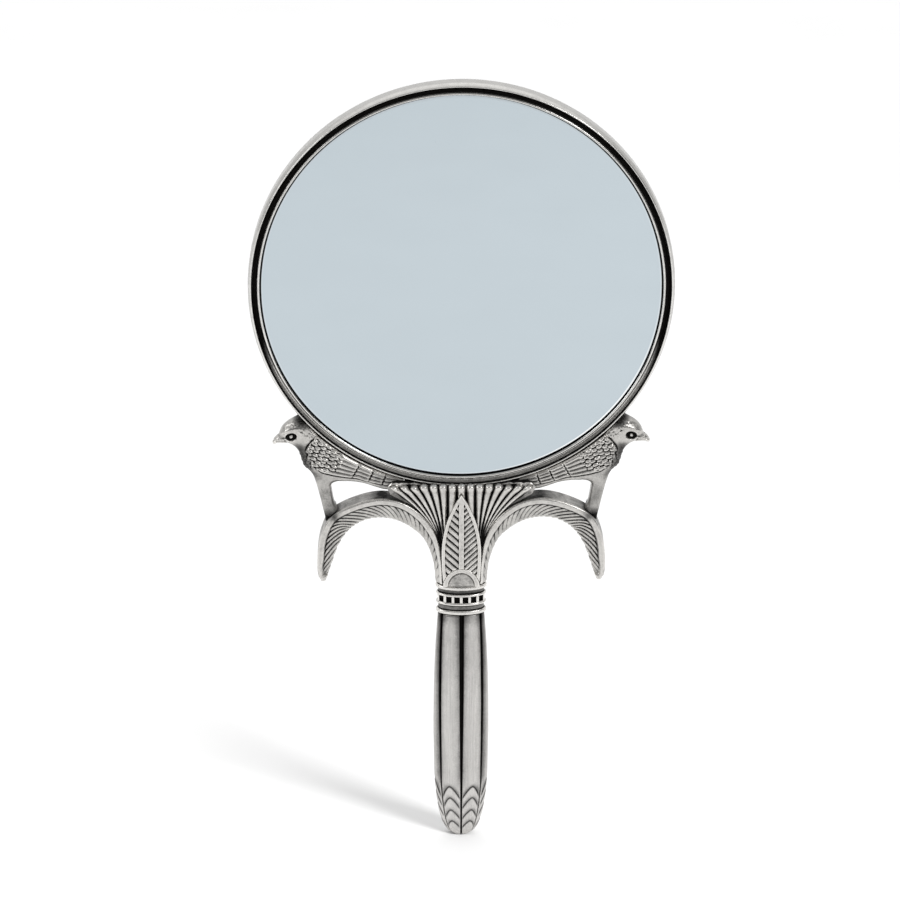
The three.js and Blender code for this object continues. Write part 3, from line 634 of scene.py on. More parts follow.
def build_head():
    """Wear is worked out on a section through the rim, where pan, bezel and glass count together."""
    pan, bezel, glass = head_profiles()
    step = 0.05
    corner = np.array([58.0, -5.5])
    radius, depth = np.meshgrid(np.arange(58, 69.6, step), np.arange(-5.5, 6.5, step), indexing="ij")
    metal = np.zeros(radius.shape, dtype=np.float32)
    for section in (pan, bezel, glass):
        inside = np.clip(0.5 - outline_distance(radius, depth, section) / (2 * step), 0, 1)
        metal = np.maximum(metal, inside)
    near_metal = blurred(metal, round(NEAR / step))
    far_metal = blurred(metal, round(FAR / step))

    seam = HEAD_RADIUS - LIP_WALL
    # Share of the head's round where shade is painted on the rim: none at the foot, full over the top
    high = fade(0.25, 0.42, 0.5 - 0.5 * np.cos(swings()))

    def turn(section):
        """The turned skin and its wear, with painted shade: between the bead and the lip, and on the lip,
        it is much darker round the top, and the bezel's inner wall beside the glass is painted dark.
        """
        places = (np.clip(section, (58.2, -6), (70, 6)) - corner) / step
        marks = wear_marks(sampled(near_metal, places), sampled(far_metal, places))
        radius = section[:, 0]
        front = fade(-2.2, -2.5, section[:, 1])
        cove = SIGHT_RADIUS + 0.8
        between = fade(cove, SIGHT_RADIUS + 1.1, radius) * fade(seam + 0.2, seam, radius)
        stations = [cove, SIGHT_RADIUS + 1.5, SIGHT_RADIUS + 2.0, seam - 0.2, seam, seam + 0.3]
        graded = np.interp(radius, stations, [0, 0.1, 0.5, 0.85, 0.95, 0])
        # Painted shade on the bezel's inner wall beside the glass
        inner_wall = front * (radius < SIGHT_RADIUS + 0.1) * fade(-3.5, -3.25, section[:, 1])
        # Lower half: some patina, and darkening graded into the seam; top: more patina, painted shade on
        # the lip's inner part and painted shade across the band between bead and lip
        low = np.maximum(0.1 * marks["hollow"], front * graded)[:, None]
        lip = front * (0.1 + 0.22 * fade(HEAD_RADIUS, seam + 0.1, radius))
        top = np.maximum(0.3 * marks["hollow"] + lip, front * between)[:, None]
        hollow = np.clip(low + (top - low) * high + inner_wall[:, None], 0, 1)
        bead = bump(radius - SIGHT_RADIUS - 0.42, 0.3) * fade(-3.2, -3.5, section[:, 1])
        # Rubbed-bright crests and bead; between the bead and the lip they are taken away round the top,
        # where shade is painted
        crest = np.maximum(marks["crest"], bead)[:, None] * (1 - between[:, None] * high)
        points, faces = turned(section)
        return points, faces, {"hollow": hollow.ravel(), "crest": crest.ravel()}

    points, faces, marks = turn(pan)
    place("pan_casting", points, faces, pan_pewter, "head_shell", marks)
    points, faces, marks = turn(bezel)
    place("bezel_casting", points, faces, rim_pewter, "bezel_ring", marks)
    points, faces = turned(glass)
    out = np.hypot(points[:, 0], points[:, 2] - HEAD_Z)
    swing = np.degrees(np.arctan2(points[:, 0], HEAD_Z - points[:, 2]))
    bevel = fade(-0.02, 0.02, out - GLASS_RADIUS + BEVEL_WIDTH)
    # Painted shadow line at the glass's covered edge, wider at the sides than at the top and foot
    edge_shadow_width = np.interp(np.abs(swing), [0, 45, 90, 135, 180], [0.1, 0.25, 0.55, 0.5, 0.25])
    edge_shadow = fade(-0.05, 0.05, out - SIGHT_RADIUS + edge_shadow_width)
    # Painted highlight on the bevel, strongest about 42 degrees round from the foot and left off where the
    # edge is dark
    marks = {"painted_bevel_highlight": bevel * (1 - edge_shadow) * (0.15 + 0.85 * bump(swing - 42, 30)), "painted_edge_shadow": edge_shadow}
    place("glass_disc", points, faces, silvered_glass(), "mirror_glass", marks)


# ---- Handle ----


def handle_half_width(z):
    above = 1.5 * (np.maximum(z - HANDLE_WIDEST_Z, 0) / 43) ** 2.4
    below = 0.3 * np.maximum(HANDLE_WIDEST_Z - z, 0) / 16
    to_end = np.maximum(0, HANDLE_END_LENGTH - z) / HANDLE_END_LENGTH
    return (HANDLE_RADIUS - above - below) * np.maximum(1 - to_end**1.6, 0) ** 0.25


def even_heights():
    """Heights spaced evenly over the surface: closely round the carved end, wider up the plain grip."""
    z = HANDLE_TOP * np.linspace(0, 1, 20000) ** 3
    run = path_lengths(z, handle_half_width(z))
    carved = np.interp(24.0, z, run)
    wanted = np.concatenate([np.arange(0, carved, 0.19), np.linspace(carved, run[-1], 110)])
    return np.interp(wanted, run, z)


def build_handle():
    z = even_heights()[:, None]
    side = np.radians(np.interp(z, [38, 60, HANDLE_TOP], [39, 36.5, 31.5]))
    quarter = np.full(z.shape, math.pi / 2)
    grooves = [-quarter, -side, side, quarter, 2 * quarter - side, 2 * quarter + side, 3 * quarter]
    per_lobe = 46  # points, set closer beside the grooves by the sine
    steps = np.arange(per_lobe) / per_lobe
    steps = steps - 0.6 * np.sin(2 * np.pi * steps) / (2 * np.pi)
    angle = np.hstack([a + (b - a) * steps for a, b in zip(grooves, grooves[1:])])
    across = np.tile(steps, len(grooves) - 1)[None, :]
    is_side = np.isin(np.repeat(np.arange(6), per_lobe), (1, 4))[None, :]

    half = handle_half_width(z)
    depth_ratio = 0.56 + 0.3 * np.exp(-z / 2.2)
    lobe_length = np.where(is_side, 6.6, 8.2) * half / HANDLE_RADIUS
    from_groove = np.minimum(across, 1 - across) * lobe_length
    at_middle = np.minimum(np.abs(angle + math.pi / 2), np.abs(angle - math.pi / 2)) < 0.5
    widening = fade(4, 60, z)
    groove_width = np.where(at_middle, 0.32 + 0.42 * widening, 0.22 + 0.26 * widening)
    groove = 1 - fade(0.5 * groove_width, 1.35 * groove_width, from_groove)
    radius = half * (1 - 0.045 * (1 - np.sin(np.pi * across)))
    x = radius * np.cos(angle)
    y = radius * depth_ratio * np.sin(angle)

    # Engraved petals round the blunt end
    in_front = np.abs(np.abs(x) - PETAL_X * half / HANDLE_RADIUS * 1.05)
    from_crown = np.where(is_side, np.abs(y) * 1.15, in_front)
    inner_side = np.where(is_side, False, np.abs(x) < PETAL_X)
    fall = np.where(inner_side, 0.72 * from_crown**1.5, 0.95 * from_crown**1.7)
    engraved = np.zeros(x.shape)
    polish = np.zeros(x.shape)
    for apex in PETAL_APEXES:
        rise = 0.0 if apex == PETAL_APEXES[-1] else 1.6
        curve = apex + np.where(is_side, rise, 0) - fall
        slope = np.where(inner_side, 1.08 * from_crown**0.5, 1.6 * from_crown**0.7)
        away = (z - curve) / np.sqrt(1 + slope**2)
        # Just above each line the petal dips and is painted darker, fading up the petal: painted shade over
        # the dip
        above = fade(1.6, 0.0, away) * (away > 0)
        engraved = np.maximum(engraved, np.maximum(bump(away, 0.36), 0.6 * above))
        polish = np.maximum(polish, fade(0.1, 0.6, -away) * 0.3)
    engraved = engraved * fade(0.15, 0.8, from_groove)

    outward = np.stack([x / (half + 1e-6), y / (half * depth_ratio**2 + 1e-6)])
    outward = outward / (np.linalg.norm(outward, axis=0) + 1e-6)
    depth = 1.25 * groove * np.minimum(1, half / 6) + 0.17 * engraved
    x = x - outward[0] * depth
    y = y - outward[1] * depth
    points = np.stack([x, y, np.broadcast_to(z, x.shape)], axis=-1)

    rows, around = x.shape
    points = np.vstack([points.reshape(-1, 3), [[0, 0, HANDLE_TOP]]])
    last_row = (rows - 1) * around + np.arange(around)
    lid = np.stack([last_row, np.roll(last_row, -1), np.full(around, rows * around)], axis=-1)
    faces = np.array(ring_faces(rows, around).tolist() + lid.tolist(), dtype=object)

    # Darker up the grip and most just under the collar: patina smeared there and painted shade from the
    # collar
    patina_and_shade_near_collar = 0.13 * fade(45, 72, z) + 0.16 * fade(76.5, HANDLE_TOP, z)
    # Darker beside each groove, fading over about two millimetres, up the grip only
    beside_groove = np.where(is_side, 0.5, 0.42) * bump(from_groove, 1.9)
    grip = fade(14, 24, z)
    hollow = np.clip(1.1 * groove + 0.75 * engraved + beside_groove * grip + patina_and_shade_near_collar, 0, 1)
    crest = 0.75 * polish
    marks = {"hollow": np.append(hollow.ravel(), 0), "crest": np.append(crest.ravel(), 0)}
    place("handle_casting", points, faces, handle_pewter, "handle", marks)


# ---- Collar ----


def oval_distance(x, y, half_width, half_depth):
    """About the distance to an upright oval, negative inside."""
    k1 = np.hypot(x / half_width, y / half_depth)
    k2 = np.hypot(x / half_width**2, y / half_depth**2) + 1e-6
    return k1 * (k1 - 1) / k2


def window_spots():
    """Middle and direction of each window, evenly spaced round the collar's oval."""
    half_width = COLLAR_RADIUS - WINDOW_INSET
    half_depth = COLLAR_DEPTH - WINDOW_INSET
    angle = np.linspace(0, 2 * np.pi, 2001)
    run = path_lengths(half_width * np.sin(angle), -half_depth * np.cos(angle))
    for i in range(WINDOW_COUNT):
        at = np.interp((i + 0.5) / WINDOW_COUNT * run[-1], run, angle)
        turn = math.atan2(half_depth * math.sin(at), half_width * math.cos(at))
        yield half_width * math.sin(at), -half_depth * math.cos(at), turn


def build_collar():
    block = Block((-8.9, -5.0, 81.4), (8.9, 5.0, 92.4), 0.1)
    edge = oval_distance(block.x, block.y, COLLAR_RADIUS, COLLAR_DEPTH)
    middle = COLLAR_MIDDLE_Z
    sleeve = slab(edge + 0.75, block.z, *SLEEVE_Z, 0.1)
    sleeve = np.minimum(sleeve, slab(edge + 0.28, block.z, middle - 1.3, middle + 1.3, 0.1))
    for low in (middle - 2.0, middle + 1.1):
        sleeve = np.minimum(sleeve, slab(edge, block.z, low, low + 0.9, 0.4))
    for window_x, window_y, turn in window_spots():
        x, y = block.x - window_x, block.y - window_y
        along = x * math.cos(turn) + y * math.sin(turn)
        inward = -x * math.sin(turn) + y * math.cos(turn)
        hole = np.maximum(np.abs(along) - 0.94, np.abs(block.z - middle) - 1.05)
        sleeve = np.maximum(sleeve, -np.maximum(hole, np.abs(inward) - 0.95))
    parts = {
        "collar_bottom_ring": slab(edge, block.z, *BOTTOM_RING_Z, 0.42),
        "collar_top_ring": slab(edge - 0.15, block.z, *TOP_RING_Z, 0.42),
        "collar_sleeve": sleeve,
    }
    whole = np.min([*parts.values()], axis=0)
    for node, field in parts.items():
        points, faces, marks = block.skin(field, whole)
        to_edge = oval_distance(points[:, 0], points[:, 1], COLLAR_RADIUS, COLLAR_DEPTH)
        add_tarnish_and_shade(marks, 0.75, 0.5 * fade(-0.3, -0.6, to_edge))
        place(f"{node}_casting", points, faces, collar_pewter, node, marks)


# ---- Fronds ----


def frond_outline():
    return np.vstack([smooth_line(FROND_OUTER), smooth_line(FROND_INNER)[::-1]])


def frond_hatch(x, z):
    """Distances from the outer and inner edges, the way along the outer one, how far into the hatched
    field, that as a share of the field's width, and the strokes cut in it."""
    from_outer, along = line_distance(x, z, smooth_line(FROND_OUTER))
    from_inner, _ = line_distance(x, z, smooth_line(FROND_INNER))
    width = from_outer + from_inner
    rim = np.minimum(1.95, 0.36 * width)
    into = from_outer - rim
    share = np.clip(into / (width - rim + 1e-6), 0, 1)
    spread = along + 14 * np.exp(-along / 35)
    phase = (spread + into / math.tan(STROKE_SLANT)) / STROKE_PITCH
    stroke = 1 - np.abs(np.sin(np.pi * phase)) ** 0.55
    stroke = stroke * fade(-0.1, 0.4, into) * (0.45 + 0.55 * fade(25, 60, along))
    before_tip = fade(0.99, 0.955, along / along.max())
    return from_outer, from_inner, along, into * before_tip, share, stroke * before_tip


def build_fronds():
    block = Block((4.8, -4.4, 91.4), (48.4, 5.0, 124.4), 0.17)
    edge = outline_distance(block.x, block.z, frond_outline())
    _, from_inner, along, into, share, stroke = frond_hatch(block.x, block.z)
    length = along.max()
    low_end = 1 - fade(0.08, 0.2, along / length)
    taper = 1 - 0.2 * low_end - 0.35 * fade(0.9, 1, along / length)
    half = FROND_HALF_DEPTH * taper - fade(-0.1, 0.5, into) * (0.75 + 1.9 * share) - 0.45 * stroke
    ragged = edge + 0.35 * stroke * fade(1.6, 0.2, from_inner)
    rounding = np.minimum(0.65, 0.5 * half)
    field = slab(ragged, block.y, FROND_MIDDLE_Y - half, FROND_MIDDLE_Y + half, rounding)
    points, faces, marks = block.skin(field + 0.16 * bump(into, 0.22))
    x, y, z = points.T
    to_edge, _, along, into, _, stroke = frond_hatch(x, z)
    # Darker along the top of the outer edge
    on_top = fade(0.6, 0.2, to_edge) * fade(-3.3, -2.8, y)
    # Painted shade under the falcon's tail and a painted shadow where its foot stands
    under_tail = bump(x - 25.5, 3.2) * fade(118, 121, z)
    shadow_at_foot = bump(np.hypot(x - 42, z - 117.5), 2.4)
    hatched = fade(-0.2, 0.5, into) * (0.14 + 0.34 * stroke)
    beside_band = 0.4 * bump(into - 0.15, 0.35) * fade(25, 60, along)
    beside_band = beside_band * fade(length - 3, length - 6, along)
    kept = 1 - 0.8 * fade(length - 6, length - 3, along)
    add_tarnish_and_shade(marks, kept, on_top * (0.38 + 0.4 * under_tail) + 0.6 * shadow_at_foot + hatched + beside_band)
    place_both_sides("frond", points, faces, cast_pewter, marks)


# ---- Falcons ----


def feathers(x, z, turn, pitch, size, height):
    """Irregular rows of small overlapping domes, high at their rounded ends.

    The pitch and size are pairs: the way the turn points, and across it.
    """
    p = x * math.cos(turn) + z * math.sin(turn)
    q = -x * math.sin(turn) + z * math.cos(turn)
    relief = np.zeros(x.shape)
    near_row = np.round(p / pitch[0])
    for row in (near_row - 1, near_row, near_row + 1):
        shift = np.where(row % 2 == 0, 0.0, 0.5)
        near_column = np.round(q / pitch[1] - shift)
        for column in (near_column - 1, near_column, near_column + 1):
            chance = np.sin(row * 127.1 + column * 311.7) * 43.7
            along = 0.16 * np.sin(chance)
            aside = 0.14 * np.cos(1.7 * chance)
            dp = (p - (row + along) * pitch[0]) / size[0]
            dq = (q - (column + shift + aside) * pitch[1]) / size[1]
            dome = np.sqrt(np.maximum(1 - dp**2 - dq**2, 0))
            relief = np.maximum(relief, height * (1 + 0.2 * np.sin(2.3 * chance)) * dome * (1 + 0.35 * dp))
    return relief


def bird_outline():
    return smooth_line(BIRD_OUTLINE, closed=True, pieces=6)


def from_eye(x, z):
    """Places measured from the eye, which is tilted a little."""
    return x - EYE_X, z - EYE_Z + 0.12 * (x - EYE_X)


def bird_relief(x, z, edge):
    """Height of the plumage, eye and beak above the falcon's smooth body."""
    out = np.hypot(x, z - HEAD_Z)
    swing = np.degrees(np.arctan2(x, HEAD_Z - z))

    # Wing: knobby scales at the shoulder
    patch = outline_distance(x, z, smooth_line(SCALE_PATCH, closed=True))
    in_patch = fade(0.4, -0.4, patch + 0.3 * np.sin(2.1 * x + 1.7 * z))
    relief = in_patch * (0.05 + feathers(x, z, math.radians(203), (1.75, 1.35), (1.3, 0.74), 0.85))

    # Tail: long feathers in overlapping tiers
    lower = np.interp(swing, *zip(*TAIL_LOWER_EDGE))
    share = np.clip((lower - out) / (lower - HEAD_RADIUS), 0, 1)
    strips = np.where(swing > TAIL_TIERS[3], 5, np.where(swing > TAIL_TIERS[1], 4, 3))
    in_tail = fade(37.5, 36.0, swing) * (1 - in_patch) * fade(-0.1, 0.2, lower - out)
    ridges = 0.36 * np.abs(np.sin(np.pi * strips * share)) ** 0.5
    tiers = sum(0.16 * fade(at - 0.15, at + 0.35, swing) for at in TAIL_TIERS)
    seams = sum(bump(swing - at, 0.28) for at in TAIL_TIERS)
    relief += in_tail * (ridges + tiers - 0.32 * seams - 0.28)
    relief -= 0.1 * bump(out - lower - 0.1, 0.25) * fade(37, 35, swing)

    # Breast, nape and head
    breast = fade(-2.9, -2.2, edge) * fade(132.2, 133, z) * fade(139, 138, z)
    breast = breast * fade(47, 48, x) * (1 - in_patch)
    relief += breast * (feathers(x, z, math.radians(250), (1.0, 1.05), (0.7, 0.6), 0.3) - 0.1)
    nape = fade(72.4, 71.4, out) * fade(143.6, 144.6, z) * fade(150, 149, z)
    relief += nape * (feathers(x, z, math.radians(215), (1.05, 1.1), (0.75, 0.65), 0.26) - 0.1)

    eye_x, eye_z = from_eye(x, z)
    relief -= 0.85 * fade(1.1, 0.75, np.hypot(eye_x / 1.9, eye_z / 1.4))
    relief += 0.7 * np.sqrt(np.maximum(1 - (eye_x / 0.66) ** 2 - (eye_z / 0.66) ** 2, 0))
    brow = z - np.interp(x, [50.5, 53, 56, 58.6], [147.7, 147.7, 147.1, 145.6])
    relief += 0.22 * bump(brow, 0.55) * fade(50, 51.5, x) * fade(59.4, 58.2, x)
    relief -= 0.18 * bump(brow - 1.25, 0.4) * fade(51, 52.5, x) * fade(57.5, 56.3, x)
    mouth = z - np.interp(x, [56.4, 58.5, 61], [143.3, 143.0, 142.75])
    relief -= 0.3 * bump(mouth, 0.2) * fade(56.2, 56.8, x)
    cheek = x - np.interp(z, [141.4, 143.2, 144.5], [55.8, 57.0, 57.4])
    relief -= 0.25 * bump(cheek, 0.28) * fade(141, 141.6, z) * fade(145.0, 144.2, z)
    cere = x - 59.15 - 0.35 * (z - 144)
    relief -= 0.14 * bump(cere, 0.22) * fade(143.2, 143.6, z)

    # Dark line where the back meets the pan
    relief -= 0.5 * bump(out - HEAD_RADIUS, 0.55)
    return relief


def bird_tarnish_and_shade(x, z):
    """Dark in the eye and at its corner; painted shade behind the crown where the head meets the rim, down
    the neck and breast, over the top of the head, on the shank and the belly; a painted shadow where the
    foot stands; darker towards the tail's tip.
    """
    eye_x, eye_z = from_eye(x, z)
    eye = fade(1.15, 0.7, np.hypot(eye_x / 1.9, eye_z / 1.15))
    ball = fade(0.7, 0.45, np.hypot(eye_x, eye_z))
    out = np.hypot(x, z - HEAD_Z)
    crown = fade(71.8, 69.0, out) * fade(146.5, 149.5, z)
    neck = bump(x - np.interp(z, [130, 136, 141], [49, 51.2, 52.4]), 2.8) * fade(144, 140.5, z)
    neck = neck * fade(127, 133, z)
    forehead = 0.16 * fade(146.5, 148, z)
    foot = fade(120, 116, z)
    shank = 0.12 * fade(128, 125, z)
    under_tail = 0.12 * fade(30, 24, x)
    tear = bump(z - 144.3 + 0.35 * (x - 57.3), 0.4) * bump(x - 57.5, 1.0)
    belly = 0.14 * fade(134, 131, z)
    dark = 0.8 * eye * (1 - 0.75 * ball) + 0.5 * tear + 0.5 * crown + 0.6 * neck + 0.5 * foot
    return 0.1 + forehead + dark + shank + under_tail + belly


def build_birds():
    block = Block((17.8, -4.7, 113.4), (62.0, 5.1, 153.6), 0.17)
    x, z = block.x, block.z
    edge = outline_distance(x, z, bird_outline())
    leg = fade(130.5, 126.5, z) * fade(38, 40, x)
    half = np.interp(x, *zip(*BIRD_HALF_DEPTH)) * (1 - 0.25 * leg)
    rounding = 1.2 + (0.82 * half - 1.2) * fade(38, 44, x)
    rounding = rounding + (1.6 - rounding) * leg
    field = slab(edge, block.y, BIRD_MIDDLE_Y - half, BIRD_MIDDLE_Y + half, rounding)
    field = field - bird_relief(x, z, edge)
    field = np.maximum(field, HEAD_RADIUS + 0.08 - np.hypot(x, z - HEAD_Z))
    field = np.maximum(field, TAIL_END_X - x)
    field = np.maximum(field, 0.05 - outline_distance(x, z, frond_outline()))
    points, faces, marks = block.skin(field)
    add_tarnish_and_shade(marks, 1.4, bird_tarnish_and_shade(points[:, 0], points[:, 2]))
    place_both_sides("bird", points, faces, bird_pewter, marks)


# ---- Capital ----


def flute_x(k, z):
    """Where the middle of flute k is at each height; they fan out from the neck, and 0 is in the middle."""
    up = np.clip((z - FLUTE_MEET_Z) / (FLUTE_TOP_Z - FLUTE_MEET_Z), 0, 1)
    top = k * FLUTE_PITCH + np.sign(k) * 0.018 * abs(k) ** 2.2
    foot = np.sign(k) * min(abs(top), 4.6 + 0.2 * abs(k))
    return foot + (top - foot) * up ** (1.25 + 0.13 * abs(k))


def flute_pitch(k, z):
    """Distance from halfway before a flute to halfway after it."""
    return np.abs(flute_x(abs(k) + 0.5, z) - flute_x(abs(k) - 0.5, z))


def flute_share(x, z):
    """How far each point is from the middle of its flute: 0 there and 0.5 halfway to the next one."""
    heights = np.linspace(CAPITAL_Z, FLUTE_TOP_Z + 2, 80)
    share = np.full(x.shape, 0.5)
    for k in range(-FLUTES_PER_SIDE, FLUTES_PER_SIDE + 1):
        centre = np.interp(z, heights, flute_x(k, heights))
        pitch = np.interp(z, heights, flute_pitch(k, heights))
        share = np.minimum(share, np.abs(x - centre) / np.maximum(pitch, 0.1))
    return share


def bezier(a, b, c, d):
    t = np.linspace(0, 1, 16, endpoint=False)[:, None]
    a, b, c, d = (np.array(p, dtype=float) for p in (a, b, c, d))
    return (1 - t) ** 3 * a + 3 * t * (1 - t) ** 2 * b + 3 * t * t * (1 - t) * c + t**3 * d


def leaf_outline():
    half = LEAF_HALF_WIDTH
    apex = LEAF_APEX_Z
    foot = CAPITAL_Z + 0.4
    lower = bezier((half * 0.88, foot), (half * 0.97, 96), (half, 100), (half, 104))
    upper = bezier((half, 104), (half, apex - 12), (half * 0.5, apex - 5), (0, apex))
    right = np.vstack([lower, upper])
    left = right[:0:-1] * (-1, 1)
    return np.vstack([right, [[0, apex]], left, [[-half * 0.88, foot]]])


def arch_distance(x, z, grown=0.0):
    """Distance to the boss's half-round outline, grown on all sides but its foot."""
    angle = np.linspace(0, np.pi, 60)
    foot = CAPITAL_Z + 0.2
    arch = [(ARCH_RADIUS + grown) * np.cos(angle), foot + (ARCH_HEIGHT + grown) * np.sin(angle)]
    return outline_distance(x, z, np.stack(arch, axis=-1))


def leaf_cuts(x, z):
    """Slanting cuts on both sides of the midrib, closer together on one side."""
    pitch = np.where(x < 0, 1.88, 1.47)
    phase = (z - 0.95 * np.abs(x)) * math.cos(math.radians(43)) / pitch
    return bump((phase - np.round(phase)) * pitch, 0.3)


def build_leaves():
    block = Block((-6.8, -6.3, 91.6), (6.8, -3.4, 125.8), 0.11)
    x, z = block.x, block.z
    edge = outline_distance(x, z, leaf_outline())
    lean = LEAF_LEAN * (z - CAPITAL_Z)
    border = fade(-1.25, -1.0, edge)
    midrib = fade(0.98, 0.72, np.abs(x))
    in_field = (1 - border) * (1 - midrib)
    cut = leaf_cuts(x, z)
    drop = in_field * (0.22 + 0.42 * cut) + 0.12 * bump(np.abs(x) - 1.0, 0.16) * (1 - border)
    drop = drop + 0.12 * bump(edge + 1.25, 0.16) * (1 - midrib)
    front = LEAF_FRONT_Y - lean + drop
    back = LEAF_FRONT_Y + LEAF_THICKNESS - lean
    field = slab(edge, block.y, front, back, 0.28)
    points, faces, marks = block.skin(np.maximum(field, -arch_distance(x, z, 0.1)))
    x, z = points[:, 0], points[:, 2]
    carved = fade(-0.9, -1.15, outline_distance(x, z, leaf_outline()))
    carved = carved * fade(0.75, 0.95, np.abs(x))
    carved = carved * (0.12 + np.where(x < 0, 0.8, 0.5) * leaf_cuts(x, z))
    add_tarnish_and_shade(marks, np.where(x < 0, 1.5, 1.1), carved)
    place_front_and_rear("leaf", points, faces, marks)


def build_domes():
    block = Block((-6.4, -5.6, 91.9), (6.4, -3.4, 99.4), 0.1)
    edge = arch_distance(block.x, block.z)
    disc = arch_distance(block.x, block.z, -ARCH_BAND)
    drop = 0.34 * fade(0.1, -0.25, disc) + 0.2 * bump(disc + 0.25, 0.2)
    drop = drop - 0.22 * fade(0, -3.5, disc)
    points, faces, marks = block.skin(slab(edge, block.y, ARCH_FRONT_Y + drop, ARCH_BACK_Y, 0.3))
    disc = arch_distance(points[:, 0], points[:, 2], -ARCH_BAND)
    add_tarnish_and_shade(marks, 1.5, 0.32 * fade(0.1, -0.3, disc))
    place_front_and_rear("dome", points, faces, marks)


def build_capital():
    block = Block((-25.4, -6.3, 91.7), (25.4, 5.6, 129.6), 0.23)
    x, y, z = block.x, block.y, block.z
    section_z, half_widths, half_depths = np.array(CAPITAL_SECTIONS).T
    right = np.stack([half_widths, section_z], axis=-1)
    core_edge = outline_distance(x, z, np.vstack([right, right[::-1] * (-1, 1)]))
    depth = np.interp(z, section_z, half_depths)
    field = slab(core_edge, y, -depth, depth, 0.8)

    heights = z[0, 0, :]
    up = np.clip((heights - FLUTE_MEET_Z) / (FLUTE_TOP_Z - FLUTE_MEET_Z), 0, 1)
    for k in range(-FLUTES_PER_SIDE, FLUTES_PER_SIDE + 1):
        centre = flute_x(k, heights)
        width = flute_pitch(k, heights) / 2
        lean = 1 / np.sqrt(1 + np.gradient(centre, heights) ** 2)
        top = KNOB_TOP_Z if abs(k) < 5 else OUTER_KNOB_TOP_Z
        knob = bump(heights - top + 1.7, 1.3)
        radius = np.maximum(0.24, (0.82 + 0.16 * knob) * width * lean)
        proud = np.clip(radius, 0.85, 1.45) + 0.3 * knob
        across = (x - centre) * lean / radius
        over = np.maximum(z - (top - 1.3), 0) / 1.3
        for side, reach in ((-1, 1.95 + 2.55 * up**2), (1, 1.95 + 1.3 * up**2)):
            out = np.maximum(side * y - reach, 0) / proud
            flute = (np.sqrt(across**2 + out**2 + over**2) - 1) * np.minimum(radius, proud)
            field = np.minimum(field, np.maximum(flute, -side * y))

    # Room for the pieces around it
    away = np.abs(x)
    leaf_edge = outline_distance(x, z, leaf_outline()) - 0.1
    leaf_back = LEAF_FRONT_Y + LEAF_THICKNESS - LEAF_LEAN * (z - CAPITAL_Z)
    tail = np.maximum(outline_distance(away, z, bird_outline()) - 0.12, TAIL_END_X - 0.15 - away)
    for room in (
        np.maximum(np.hypot(x, z - HEAD_Z) - HEAD_RADIUS - 0.1, LIP_Y - 0.12 - y),
        np.maximum(leaf_edge, y - leaf_back),
        np.maximum(leaf_edge, -y - leaf_back),
        np.maximum(tail, -3.5 - y),
        outline_distance(away, z, frond_outline()) - 0.12,
        z - (CAPITAL_Z + 0.05),
    ):
        field = np.maximum(field, -room)
    points, faces, marks = block.skin(field)
    x, _, z = points.T
    # Painted shade down each flute's sides and between the leaf and the flutes at the neck, painted shadow
    # above the knobs under the pan's lip, and a slight dulling below the knobs
    flute_side_shade = fade(0.2, 0.5, flute_share(x, z))
    shade_beside_leaf = bump(np.abs(x) - np.interp(z, [96, 104, 110, 116], [6.6, 6.9, 7.2, 7.0]), 1.4)
    shade_beside_leaf = shade_beside_leaf * fade(119, 109, z)
    shadow_over_knobs = fade(128.6, 129.2, z)
    dull = 0.1 * fade(FLUTE_TOP_Z, 126, z)
    add_tarnish_and_shade(marks, 1.7, 0.42 * flute_side_shade + 0.8 * shade_beside_leaf + shadow_over_knobs + dull)
    place("capital_casting", points, faces, cast_pewter, "fan_capital", marks)


# ---- Hidden pieces ----


def repaint(node, material):
    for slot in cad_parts[node].material_slots:
        slot.material = material


def build_hidden():
    repaint("backing_card", card_board())
    repaint("felt_pad", wool_felt())
    steel = turned_steel()
    repaint("neck_stud", steel)
    for kind in ("head", "bird", "foot", "frond"):
        for hand in ("left", "right"):
            repaint(f"{kind}_dowel_{hand}", steel)


# ---- Studio ----


def build_camera():
    data = bpy.data.cameras.new("camera")
    data.sensor_width = 36
    data.lens = LENS
    data.clip_start = 0.05
    data.clip_end = 60
    camera = new_object("camera", data)
    aim = Euler((math.radians(90 - CAMERA_TILT), 0, math.radians(-CAMERA_TURN)))
    spot = (Vector(CAMERA_PLACE) - Vector((0, 0, GRIP_Z))) * MM
    camera.matrix_world = Matrix.LocRotScale(spot, aim, None)
    bpy.context.scene.camera = camera


def build_floor():
    mesh = bpy.data.meshes.new("floor")
    sides = ((-1, -1), (1, -1), (1, 1), (-1, 1))
    corners = [(a * FLOOR_HALF, b * FLOOR_HALF, -GRIP_Z * MM) for a, b in sides]
    mesh.from_pydata(corners, [], [(0, 1, 2, 3)])
    paint = Paint("pale_floor")
    paper = paint.noise(0.02, 2)
    paint.set(Base_Color=paint.mix(paper, (0.85, 0.85, 0.85), (0.88, 0.88, 0.88)), Roughness=0.9)
    paint.set(Specular_IOR_Level=0.1)
    mesh.materials.append(paint.material)
    floor = new_object("floor", mesh)
    return floor


def soft_box(name, at, size, power):
    """A rectangle of light, with its place and size in metres, aimed at the mirror's collar."""
    data = bpy.data.lights.new(name, "AREA")
    data.shape = "RECTANGLE"
    data.size, data.size_y = size
    data.energy = power
    aim = (Vector((0, 0, 0.05)) - Vector(at)).to_track_quat("-Z", "Y")
    new_object(name, data).matrix_world = Matrix.LocRotScale(Vector(at), aim, None)


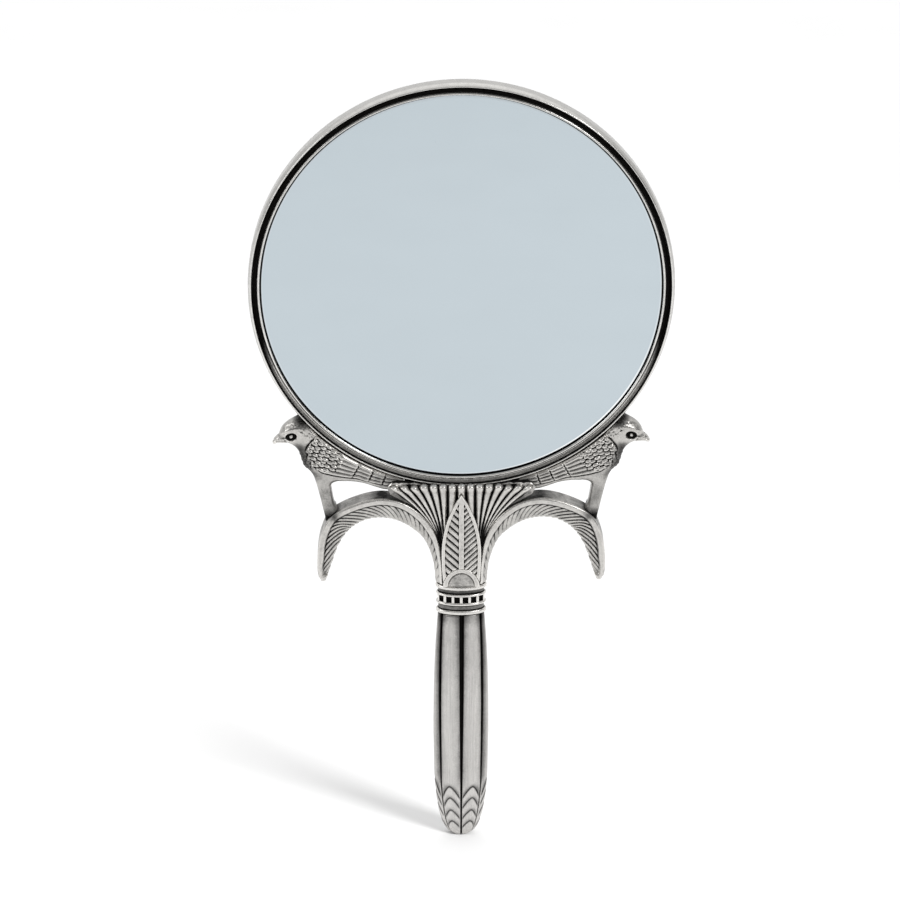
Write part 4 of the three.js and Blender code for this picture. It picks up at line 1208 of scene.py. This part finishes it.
def build_world():
    """A tent of light: bright overhead and behind, darkest low in front; what the camera sees is white."""
    world = bpy.data.worlds.new("studio")
    bpy.context.scene.world = world
    world.use_nodes = True
    nodes = Nodes(world.node_tree)
    nodes.tree.nodes.clear()
    split = nodes.add("SeparateXYZ")
    nodes.put(nodes.add("TexCoord").outputs["Generated"], split.inputs[0])
    overhead = nodes.ramp(split.outputs[2], 0.4, 0.75, 0.0, 0.56, "SMOOTHSTEP")
    behind = nodes.ramp(split.outputs[1], -0.15, 0.5, 0.07, 0.85, "SMOOTHSTEP")
    tent = nodes.add("Background")
    nodes.put(nodes.math("ADD", overhead, behind), tent.inputs["Strength"])
    plain = nodes.add("Background")
    for background in (tent, plain):
        nodes.put((1, 1, 1, 1), background.inputs["Color"])
    choose = nodes.add("MixShader")
    seen = nodes.add("LightPath").outputs["Is Camera Ray"]
    for index, source in enumerate((seen, tent.outputs[0], plain.outputs[0])):
        nodes.put(source, choose.inputs[index])
    nodes.put(choose.outputs[0], nodes.add("OutputWorld").inputs["Surface"])


def build_lights(floor):
    """A low soft sun from the front right draws the handle's shadow, and two soft boxes light the metal."""
    data = bpy.data.lights.new("shadow_light", "SUN")
    data.angle = math.radians(SUN_SPREAD)
    data.energy = SUN_STRENGTH
    shadow = new_object("shadow_light", data)
    heading = math.radians(SUN_HEADING)
    towards = Vector((math.cos(heading), math.sin(heading), -math.tan(math.radians(SUN_HEIGHT))))
    shadow.rotation_euler = towards.to_track_quat("-Z", "Y").to_euler()
    receivers = bpy.data.collections.new("lit_by_shadow_light")
    receivers.objects.link(floor)
    blockers = bpy.data.collections.new("casts_the_shadow")
    blockers.objects.link(bpy.data.objects["handle_casting"])
    shadow.light_linking.receiver_collection = receivers
    shadow.light_linking.blocker_collection = blockers
    soft_box("right_box", (0.85, -0.75, 0.95), (0.5, 0.5), 5.2)
    soft_box("left_box", (-1.0, -0.35, 0.6), (0.5, 0.6), 2.6)


build_camera()
build_head()
build_handle()
build_collar()
build_fronds()
build_birds()
build_leaves()
build_domes()
build_capital()
build_hidden()
build_world()
build_lights(build_floor())
bpy.context.scene.view_settings.view_transform = "Standard"
